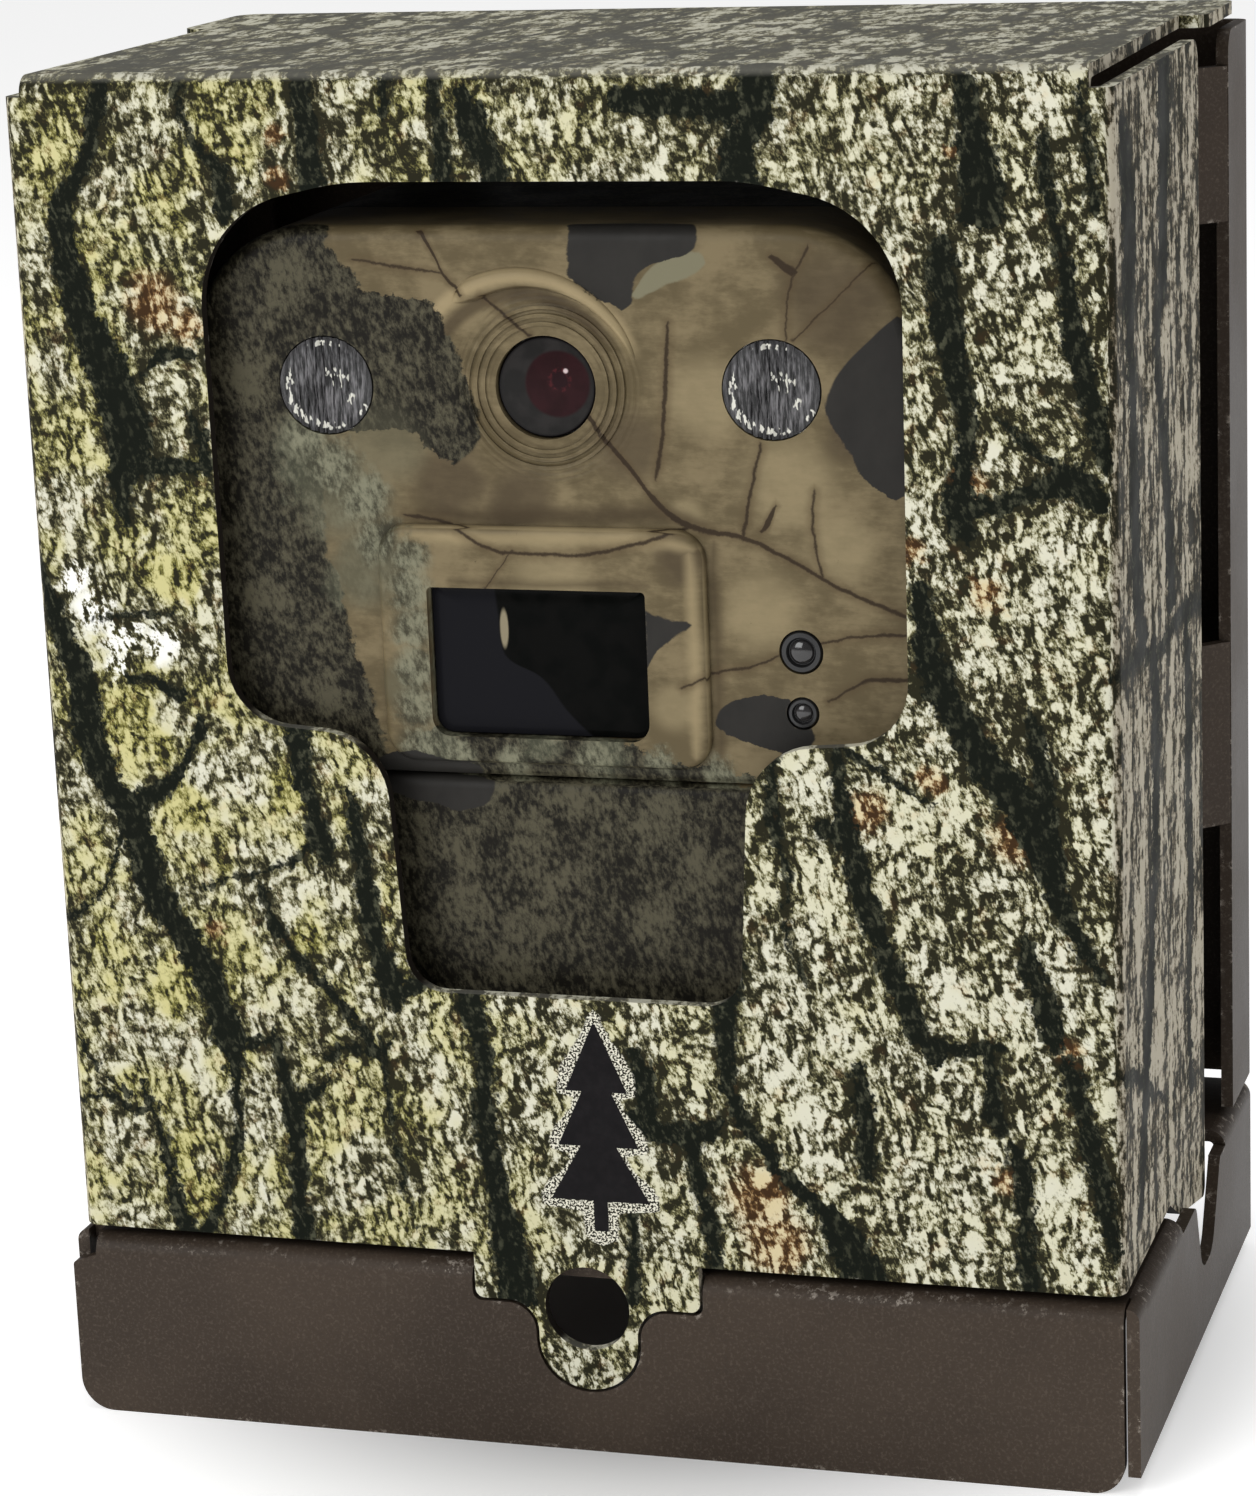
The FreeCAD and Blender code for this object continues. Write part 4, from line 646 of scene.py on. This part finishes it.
def lens_glass(x_middle, z_middle):
    """The lens window: smoked glass round a dark red coated lens with a small bright ring."""
    paint = Paint("lens_smoke", Specular_IOR_Level=0.08)
    where = paint.join(paint.x - x_middle, paint.z - z_middle)
    haze = paint.grain(2.5, 3.0)
    smoke = paint.mix(srgb(30, 29, 28), srgb(40, 38, 37), haze.ramp(0.35, 0.65))
    red = paint.mix(srgb(42, 17, 20), srgb(33, 13, 15), haze.ramp(0.3, 0.7))
    skin = paint.mix(red, smoke, paint.far(where, 1.4, 0.4).ramp(3.8, 4.3))
    core = paint.far(where, 1.7, 0.9)
    skin = paint.mix(skin, srgb(30, 12, 16), core.ramp(0.9, 1.5, 0.8, 0.0))
    fleck = paint.grain(0.5, 3.0, 0.7)
    coating = (core - 1.25).size().ramp(0.05, 0.4, 0.8, 0.0) * fleck.ramp(0.45, 0.6)
    skin = paint.mix(skin, srgb(92, 36, 40), coating * 0.5)
    # A painted highlight: a small pale glint up and to the right of the lens's middle.
    skin = paint.mix(skin, srgb(210, 190, 190), paint.far(where, 2.5, 2.0).ramp(0.16, 0.4, 0.9, 0.0))
    skin = paint.mix(skin, srgb(22, 20, 21), paint.far(where, 0.0, 0.0).ramp(5.7, 6.0))
    return paint.done(skin, haze.ramp(0.3, 0.7, 0.14, 0.24), (haze, 0.01))


def flood_glass(name, x_middle, z_middle):
    """A floodlight's ribbed clear lens over a dark bowl, with painted reflections: upright streaks and
    small bright glints.
    """
    paint = Paint(name, Specular_IOR_Level=0.3, Transmission_Weight=0.25)
    x, z = paint.x - x_middle, paint.z - z_middle
    far = paint.far((x, z), 0.0, 0.0)
    # Painted reflections: bright upright streaks along the ribs.
    rib = paint.noise((x, z * 0.12), 0.42, 3.0, 0.7)
    blot = paint.noise((x, z * 0.4), 2.6, 3.0, 0.6)
    skin = paint.mix(srgb(18, 18, 19), srgb(146, 144, 146), (rib * 1.2 + blot * 0.5 - 0.2).ramp(0.52, 0.98))
    skin = paint.mix(skin, srgb(30, 29, 30), far.ramp(4.9, 5.7) * 0.6)
    # Painted glints: small bright dashes along the rims and in a few clusters.
    dash = paint.noise((x, z * 0.38), 0.55, 2.0, 0.5)
    low_rim = (far - 5.0).size().fall(0.3, 0.7) * (z + x * 0.5).fall(-4.4, -3.2)
    high_rim = (far - 5.2).size().fall(0.2, 0.5) * z.ramp(4.6, 5.0)
    high_rim = high_rim * x.size().fall(1.6, 2.4)
    left_rim = (far - 4.7).size().ramp(0.2, 0.8, 0.8, 0.0) * (x + z * 0.3).fall(-4.4, -3.6)
    glint_cluster = paint.spots(x, z, ((1.7, 1.0, 1.7), (3.0, -1.6, 1.0), (4.7, -3.0, 1.0), (0.3, 1.6, 0.9)))
    place = low_rim.most(high_rim).most(left_rim).most(glint_cluster * 0.9)
    glint = (dash + place * 0.1 - 0.2).ramp(0.4, 0.44) * place.ramp(0.1, 0.5)
    return paint.done(paint.mix(skin, srgb(240, 238, 226), glint), blot.ramp(0.3, 0.7, 0.12, 0.2),
                      (rib, 0.04))


def motion_reflection_paint():
    """The motion window: glossy black plastic, with a painted reflection greyer on the left up to a curved
    line, and a painted glint.
    """
    paint = Paint("motion_reflection_paint", Specular_IOR_Level=0.02)
    x, z = paint.x + 3.9, paint.z - SILL - 75.9
    # The curved edge of the painted reflection, across by height.
    bend = paint.curve(z, ((-10, 7), (-6, 3.2), (-2, 0.2), (1, -4.6), (6, -5.2), (10, -5.8)))
    painted_reflection = (x - bend).fall(-0.25, 0.25)
    haze = paint.grain(3.0, 3.0)
    skin = paint.mix(srgb(8, 9, 8), srgb(13, 13, 12), haze.ramp(0.35, 0.65))
    skin = paint.mix(skin, srgb(25, 25, 28), painted_reflection)
    # A painted glint: a pale upright streak just right of the painted reflection.
    glint = paint.far((x * 1.3, z * 0.3), -5.85, 1.26)
    skin = paint.mix(skin, srgb(150, 140, 116), glint.ramp(0.55, 0.85, 0.8, 0.0) * (1.0 - painted_reflection))
    return paint.done(skin, haze.ramp(0.3, 0.7, 0.1, 0.2), (haze, 0.01))


def clear_plastic(name, tint):
    """Clear moulded plastic with faint flow lines."""
    paint = Paint(name, IOR=1.49, Transmission_Weight=1.0)
    flow = paint.grain(2.0, 2.0)
    return paint.done(paint.mix(tint, (1.0, 1.0, 1.0), flow.ramp(0.3, 0.7)),
                      flow.ramp(0.3, 0.7, 0.02, 0.07), (flow, 0.01))


def circuit(name, mask, copper):
    """A circuit board: solder mask over straight copper runs, with small pads."""
    paint = Paint(name, Specular_IOR_Level=0.5)
    u, v = paint.x + paint.y * 0.3, paint.z
    net = paint.cells((u, v * 0.6), 3.2, distance="CHEBYCHEV")
    runs = Signal(paint, net.outputs["Distance"]).math("PINGPONG", 0.12) * 8.0
    pads = paint.cells((u, v), 1.9)
    dots = Signal(paint, pads.outputs["Distance"]).fall(0.16, 0.2)
    skin = paint.mix(mask, tuple(level * 1.7 for level in mask), runs.ramp(0.45, 0.6))
    return paint.done(paint.mix(skin, copper, dots * 0.8), paint.grain(2.0).ramp(0.3, 0.7, 0.28, 0.4),
                      (runs, 0.03))


def cell_film():
    """Printed film round a battery cell: dark with a copper-coloured top band."""
    paint = Paint("cell_film", Specular_IOR_Level=0.6)
    up = paint.z - SILL
    haze = paint.grain(3.0, 4.0, 0.7)
    skin = paint.mix(srgb(34, 36, 40), srgb(50, 52, 58), haze.ramp(0.4, 0.6))
    skin = paint.mix(skin, srgb(176, 112, 66), up.ramp(40.0, 40.3))
    skin = paint.mix(skin, srgb(196, 190, 176), (up - 39.4).size().fall(0.4, 0.5))
    skin = paint.mix(skin, srgb(190, 190, 188), up.ramp(53.6, 53.8))
    return paint.done(skin, haze.ramp(0.3, 0.7, 0.22, 0.34), (haze, 0.01))


def screen_face():
    """A small liquid crystal screen at rest: green-grey with a fine dot grid."""
    paint = Paint("screen_face", Specular_IOR_Level=0.5)
    grid = (paint.x.math("PINGPONG", 0.3) * 3.3).least(paint.z.math("PINGPONG", 0.3) * 3.3)
    haze = paint.grain(5.0, 2.0)
    lit = paint.mix(srgb(112, 124, 100), srgb(128, 138, 112), haze)
    return paint.done(paint.mix(srgb(70, 80, 66), lit, grid.ramp(0.1, 0.3)),
                      haze.ramp(0.3, 0.7, 0.2, 0.3), (grid, 0.01))


def add_object(name, data):
    item = bpy.data.objects.new(name, data)
    bpy.context.scene.collection.objects.link(item)
    return item


def use(material, *names):
    for name in names:
        for slot in nodes[name].material_slots:
            slot.material = material


# -------- pieces

def add_piece(name, verts, faces, body, slot, material, smooth=35.0):
    """A mesh piece given in mm, in the frame's own place, riding on a body."""
    mesh = bpy.data.meshes.new(name)
    mesh.from_pydata([(x * MM, y * MM, z * MM) for x, y, z in verts], [], faces)
    shape = bmesh.new()
    shape.from_mesh(mesh)
    bmesh.ops.remove_doubles(shape, verts=shape.verts, dist=1e-7)
    bmesh.ops.recalc_face_normals(shape, faces=shape.faces)
    shape.to_mesh(mesh)
    shape.free()
    for face in mesh.polygons:
        face.use_smooth = True
    mesh.set_sharp_from_angle(angle=math.radians(smooth))
    mesh.materials.append(material)
    piece = add_object(name, mesh)
    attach(piece, body)
    return piece


def turned(profile, x, z, steps=48):
    """Verts and faces of a (radius, y) profile turned about the Y axis through (x, z), in mm."""
    verts, faces = [], []
    count = len(profile)
    for step in range(steps):
        angle = 2 * math.pi * step / steps
        verts += [(x + radius * math.cos(angle), y, z + radius * math.sin(angle)) for radius, y in profile]
    for step in range(steps):
        here, there = step * count, (step + 1) % steps * count
        faces += [(here + i, here + i + 1, there + i + 1, there + i) for i in range(count - 1)]
    return verts, faces


def merge(*shapes):
    verts, faces = [], []
    for more_verts, more_faces in shapes:
        start = len(verts)
        verts += more_verts
        faces += [tuple(index + start for index in face) for face in more_faces]
    return verts, faces


def ribbed_disc(x, z, radius, front, rear, ribs):
    """A round lens whose front face carries upright ribs."""
    columns, rows = ribs * 8, 10
    verts, faces = [], []
    for side in (0, 1):
        for column in range(columns + 1):
            across = radius * math.sin(math.pi * (column / columns - 0.5))
            tall = math.sqrt(max(radius * radius - across * across, 0.0))
            wave = 0.5 - 0.5 * math.cos(2 * math.pi * ribs * 0.5 * (across / radius + 1))
            dome = 1 - (across / radius) ** 2
            y = rear if side else front + 0.45 * (1 - wave) * dome + 0.1
            for row in range(rows + 1):
                verts.append((x + across, y, z + tall * (2 * row / rows - 1)))
    span = rows + 1
    back = (columns + 1) * span
    for column in range(columns):
        for row in range(rows):
            a = column * span + row
            quad = (a, a + 1, a + span + 1, a + span)
            faces += [quad, tuple(index + back for index in quad)]
        for row in (0, rows):
            a = column * span + row
            faces.append((a, a + span, a + span + back, a + back))
    return verts, faces


def place_of(name):
    """A piece's middle (x, z), half its width, its front and its rear, in mm."""
    low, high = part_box(name)
    x, z = (low.x + high.x) / 2 / MM, (low.z + high.z) / 2 / MM
    return x, z, (high.x - low.x) / 2 / MM, low.y / MM, high.y / MM


def flood(word):
    """One floodlight: ribbed lens, silver bowl, and seven domed lamps."""
    x, z, radius, front = place_of(f"flood_lens_{word}")[:4]
    lens = add_piece(f"flood_glass_{word}", *ribbed_disc(x, z, radius - 0.02, front, front + 2.2, 11),
                     "frame", "clear_lens", flood_glass(f"flood_glass_{word}", x, z), 50.0)
    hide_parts(f"flood_lens_{word}")
    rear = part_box(f"lamp_board_{word}")[0].y / MM
    bowl = [(6.1, front + 2.6), (6.25, front + 2.6), (6.3, rear - 0.5), (0.0, rear - 0.05),
            (0.0, rear - 0.3), (5.6, rear - 0.75), (6.0, rear - 4.0), (6.1, front + 2.6)]
    add_piece(f"flood_bowl_{word}", *turned(bowl, x, z), "frame", "steel", looks["mirror"])
    lamp_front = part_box(f"lamps_{word}")[0].y / MM
    lamp, lamps_apart = 1.5, 4.3
    dome = []
    for i in range(7):
        angle = math.pi / 12 * i
        dome.append((lamp * math.sin(angle), lamp_front + lamp - lamp * math.cos(angle)))
    dome += [(lamp, rear - 1.1), (0.0, rear - 1.1)]
    spots = [(x, z)]
    for i in range(6):
        angle = math.pi / 3 * i
        spots.append((x + lamps_apart * math.cos(angle), z + lamps_apart * math.sin(angle)))
    lamps = add_piece(f"lamp_domes_{word}", *merge(*[turned(dome, u, v, 20) for u, v in spots]),
                      "frame", "clear_lens", looks["lamp"])
    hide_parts(f"lamps_{word}")


def brow():
    """The raised brow over the lens, thick on the left and drawn out to a point on the right."""
    x, z = place_of("lens_window")[:2]
    x, z = x - 2.7, z - 1.2
    face = CASE_FRONT / MM
    steps, sides = 40, 10
    verts, faces = [], []
    for step in range(steps + 1):
        share = step / steps
        angle = math.radians(126 - 108 * share)
        thick = 1.55 * math.sqrt(max(min(share * 9, 1.0), 0.02)) * (1 - share) ** 0.55 + 0.04
        reach = 14.4 + 0.4 * share
        for side in range(sides + 1):
            turn = math.pi * side / sides
            radius = reach + thick * math.cos(turn)
            verts.append((x + radius * math.cos(angle), face + 0.05 - 0.85 * thick * math.sin(turn),
                          z + radius * math.sin(angle)))
    span = sides + 1
    for step in range(steps):
        for side in range(sides):
            a = step * span + side
            faces.append((a, a + 1, a + span + 1, a + span))
    piece = add_piece("brow_ridge", verts, faces, "frame", "case_plastic", looks["leaf"])
    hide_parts("lens_brow")


def motion_lens():
    """The motion sensor's window, bulging forward out of the hood."""
    low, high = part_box("motion_window")
    x, z, half_wide, front, rear = place_of("motion_window")
    half_tall = (high.z - low.z) / 2 / MM
    corner, rings, per_corner = 2.0, 10, 6
    rim = []
    for quarter, (sign_x, sign_z) in enumerate(((1, 1), (-1, 1), (-1, -1), (1, -1))):
        radius = corner if sign_z < 0 else 0.6
        for i in range(per_corner + 1):
            angle = math.pi / 2 * (quarter + i / per_corner)
            rim.append((sign_x * (half_wide - radius) + radius * math.cos(angle),
                        sign_z * (half_tall - radius) + radius * math.sin(angle)))
    verts = []
    for ring in range(rings + 1):
        share = 1 - ring / rings
        bulge = 0.5 * math.sqrt(max(1 - share ** 3, 0.0))
        verts += [(x + u * share, front - bulge, z + v * share) for u, v in rim]
    verts += [(x + u, rear, z + v) for u, v in rim]
    count = len(rim)
    faces = []
    for ring in range(rings):
        for i in range(count):
            j = (i + 1) % count
            a = ring * count
            faces.append((a + i, a + j, a + count + j, a + count + i))
    back = (rings + 1) * count
    faces += [(i, (i + 1) % count, back + (i + 1) % count, back + i) for i in range(count)]
    faces.append(tuple(range(back, back + count)))
    piece = add_piece("motion_glass", verts, faces, "frame", "window_dark", looks["painted_reflection"], 40.0)
    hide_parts("motion_window")


def sensor_eye(node, name):
    """A small round sensor: a black ring round a glass dome."""
    x, z, radius, front, rear = place_of(node)
    ring = [(radius, rear), (radius, front + 0.3), (radius - 0.2, front), (radius * 0.72, front - 0.05),
            (radius * 0.62, front + 0.5), (0.0, front + 0.6), (0.0, rear), (radius, rear)]
    piece = add_piece(f"{name}_ring", *turned(ring, x, z), "frame", "window_dark", looks["black"])
    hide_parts(node)
    dome = []
    for i in range(9):
        angle = math.pi / 16 * i
        dome.append((radius * 0.6 * math.sin(angle), front + 0.55 - radius * 0.28 * math.cos(angle)))
    dome.append((0.0, front + 0.56))
    add_piece(f"{name}_dome", *turned(dome, x, z, 32), "frame", "clear_lens", looks["eye"])


def lens_front():
    """The lens window's slightly domed face."""
    x, z, radius, front, rear = place_of("lens_window")
    profile = [(0.0, front - 0.25), (radius * 0.4, front - 0.2), (radius * 0.75, front - 0.08),
               (radius - 0.2, front), (radius, front + 0.2), (radius, rear), (0.0, rear)]
    piece = add_piece("lens_front", *turned(profile, x, z, 64), "frame", "window_dark", looks["lens"])
    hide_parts("lens_window")


looks = {
    "leaf": leaf_print(),
    "clear": clear_plastic("clear_plastic", srgb(236, 240, 242)),
    "mirror": plain("silvered", srgb(206, 206, 204), 0.16, 1.0),
    "lamp": clear_plastic("lamp_plastic", srgb(232, 232, 222)),
    "painted_reflection": motion_reflection_paint(),
    "black": plain("black_plastic", srgb(26, 26, 27), 0.35),
    "eye": plain("sensor_glass", srgb(38, 36, 36), 0.12, 0.0, Coat_Weight=0.4),
    "lens": lens_glass(*place_of("lens_window")[:2]),
}
use(bark_print(), "front_cover")
use(brown_coat(), "base_shelf", "back_frame")
use(decal_ink(), "tree_decal")
use(looks["leaf"], "front_case", "rear_case", "battery_door", "lens_brow")
use(looks["black"], "lens_barrel", "battery_tray", "control_panel", "door_latch", "power_switch",
    "board_posts")
use(plain("card_shell", srgb(36, 44, 62), 0.4), "memory_card")
use(plain("seal_rubber", srgb(24, 24, 24), 0.75, 0.0, 0.03), "case_gasket")
use(plain("key_rubber", srgb(62, 64, 66), 0.6, 0.0, 0.03), "button_ok", "button_left", "button_right",
    "button_up", "button_down")
use(plain("plated_steel", srgb(176, 176, 174), 0.28, 1.0), "hinge_pin", "case_screws", "board_screws",
    "battery_springs", "battery_plates", "card_socket", "motion_sensor")
use(plain("turned_brass", srgb(190, 152, 84), 0.3, 1.0), "tripod_insert")
use(plain("chip_case", srgb(30, 30, 31), 0.5), "board_chips", "image_sensor")
use(circuit("green_board", srgb(20, 62, 38), srgb(186, 168, 110)), "main_board", "sensor_board",
    "lamp_board_left", "lamp_board_right", "motion_board", "button_board")
use(cell_film(), *[f"battery_cell_{i}" for i in range(1, 7)])
use(screen_face(), "screen_module")
use(clear_plastic("screen_cover", srgb(220, 226, 222)), "screen_window")
use(plain("coated_lens", srgb(80, 24, 34), 0.08, 0.0, Coat_Weight=1.0), "lens_element")
flood("left")
flood("right")
brow()
motion_lens()
sensor_eye("light_sensor_lens", "light_sensor")
sensor_eye("indicator_lens", "indicator")
lens_front()


# -------- light, floor and camera

def area_light(name, place, target, size, power):
    data = bpy.data.lights.new(name, "AREA")
    data.shape = "RECTANGLE"
    data.size, data.size_y = size
    data.energy = power
    lamp = add_object(name, data)
    lamp.location = place
    lamp.rotation_euler = (Vector(target) - Vector(place)).to_track_quat("-Z", "Y").to_euler()


def studio():
    """A wide white floor that glows, with the glow fading out round the box as a painted shadow, a white
    sky and three soft lights.
    """
    mesh = bpy.data.meshes.new("floor")
    edge = 40.0
    mesh.from_pydata([(-edge, -edge, 0), (edge, -edge, 0), (edge, edge, 0), (-edge, edge, 0)], [],
                     [(0, 1, 2, 3)])
    floor = add_object("floor", mesh)
    sheet = bpy.data.materials.new("floor_sheet")
    sheet.use_nodes = True
    shader = sheet.node_tree.nodes["Principled BSDF"]
    shader.inputs["Base Color"].default_value = (0.85, 0.85, 0.85, 1)
    shader.inputs["Roughness"].default_value = 0.9
    shader.inputs["Emission Color"].default_value = (1.0, 1.0, 1.0, 1)
    # The floor's glow is cut to nothing near the box and grows to full further out: a painted shadow round
    # the box.
    glow = sheet.node_tree.nodes.new("ShaderNodeMapRange")
    glow.inputs["From Min"].default_value = 0.045
    glow.inputs["From Max"].default_value = 0.09
    glow.inputs["To Max"].default_value = 0.66
    reach = sheet.node_tree.nodes.new("ShaderNodeVectorMath")
    reach.operation = "LENGTH"
    place = sheet.node_tree.nodes.new("ShaderNodeTexCoord")
    sheet.node_tree.links.new(place.outputs["Object"], reach.inputs[0])
    sheet.node_tree.links.new(reach.outputs["Value"], glow.inputs["Value"])
    sheet.node_tree.links.new(glow.outputs[0], shader.inputs["Emission Strength"])
    mesh.materials.append(sheet)
    world = bpy.data.worlds.new("studio")
    world.use_nodes = True
    sky = world.node_tree.nodes["Background"]
    sky.inputs[0].default_value = (1.0, 1.0, 1.0, 1)
    sky.inputs[1].default_value = 0.24
    bpy.context.scene.world = world
    middle = (0.0, 0.0, 0.09)
    area_light("key", (-0.5, -1.0, 0.7), middle, (0.8, 0.8), 9.0)
    area_light("top", (0.1, 0.1, 1.2), middle, (0.9, 0.9), 4.0)
    area_light("right", (1.0, -0.2, 0.5), middle, (0.5, 0.8), 0.8)
    bpy.context.scene.view_settings.view_transform = "Standard"


def aim_camera():
    """Seen a little from the right and from above, from about half a metre, with a long lens."""
    data = bpy.data.cameras.new("camera")
    data.sensor_width = 36
    data.lens = 104.1
    eye = add_object("camera", data)
    right = Vector((0.957505, 0.285781, -0.038906))
    ahead = Vector((-0.286329, 0.925683, -0.247236))
    up = right.cross(ahead)
    eye.matrix_world = Matrix((right, up, -ahead)).transposed().to_4x4()
    eye.location = (0.1587, FRONT - 0.4861, GROUND + SILL * MM + 0.19658)
    bpy.context.scene.camera = eye


studio()
aim_camera()
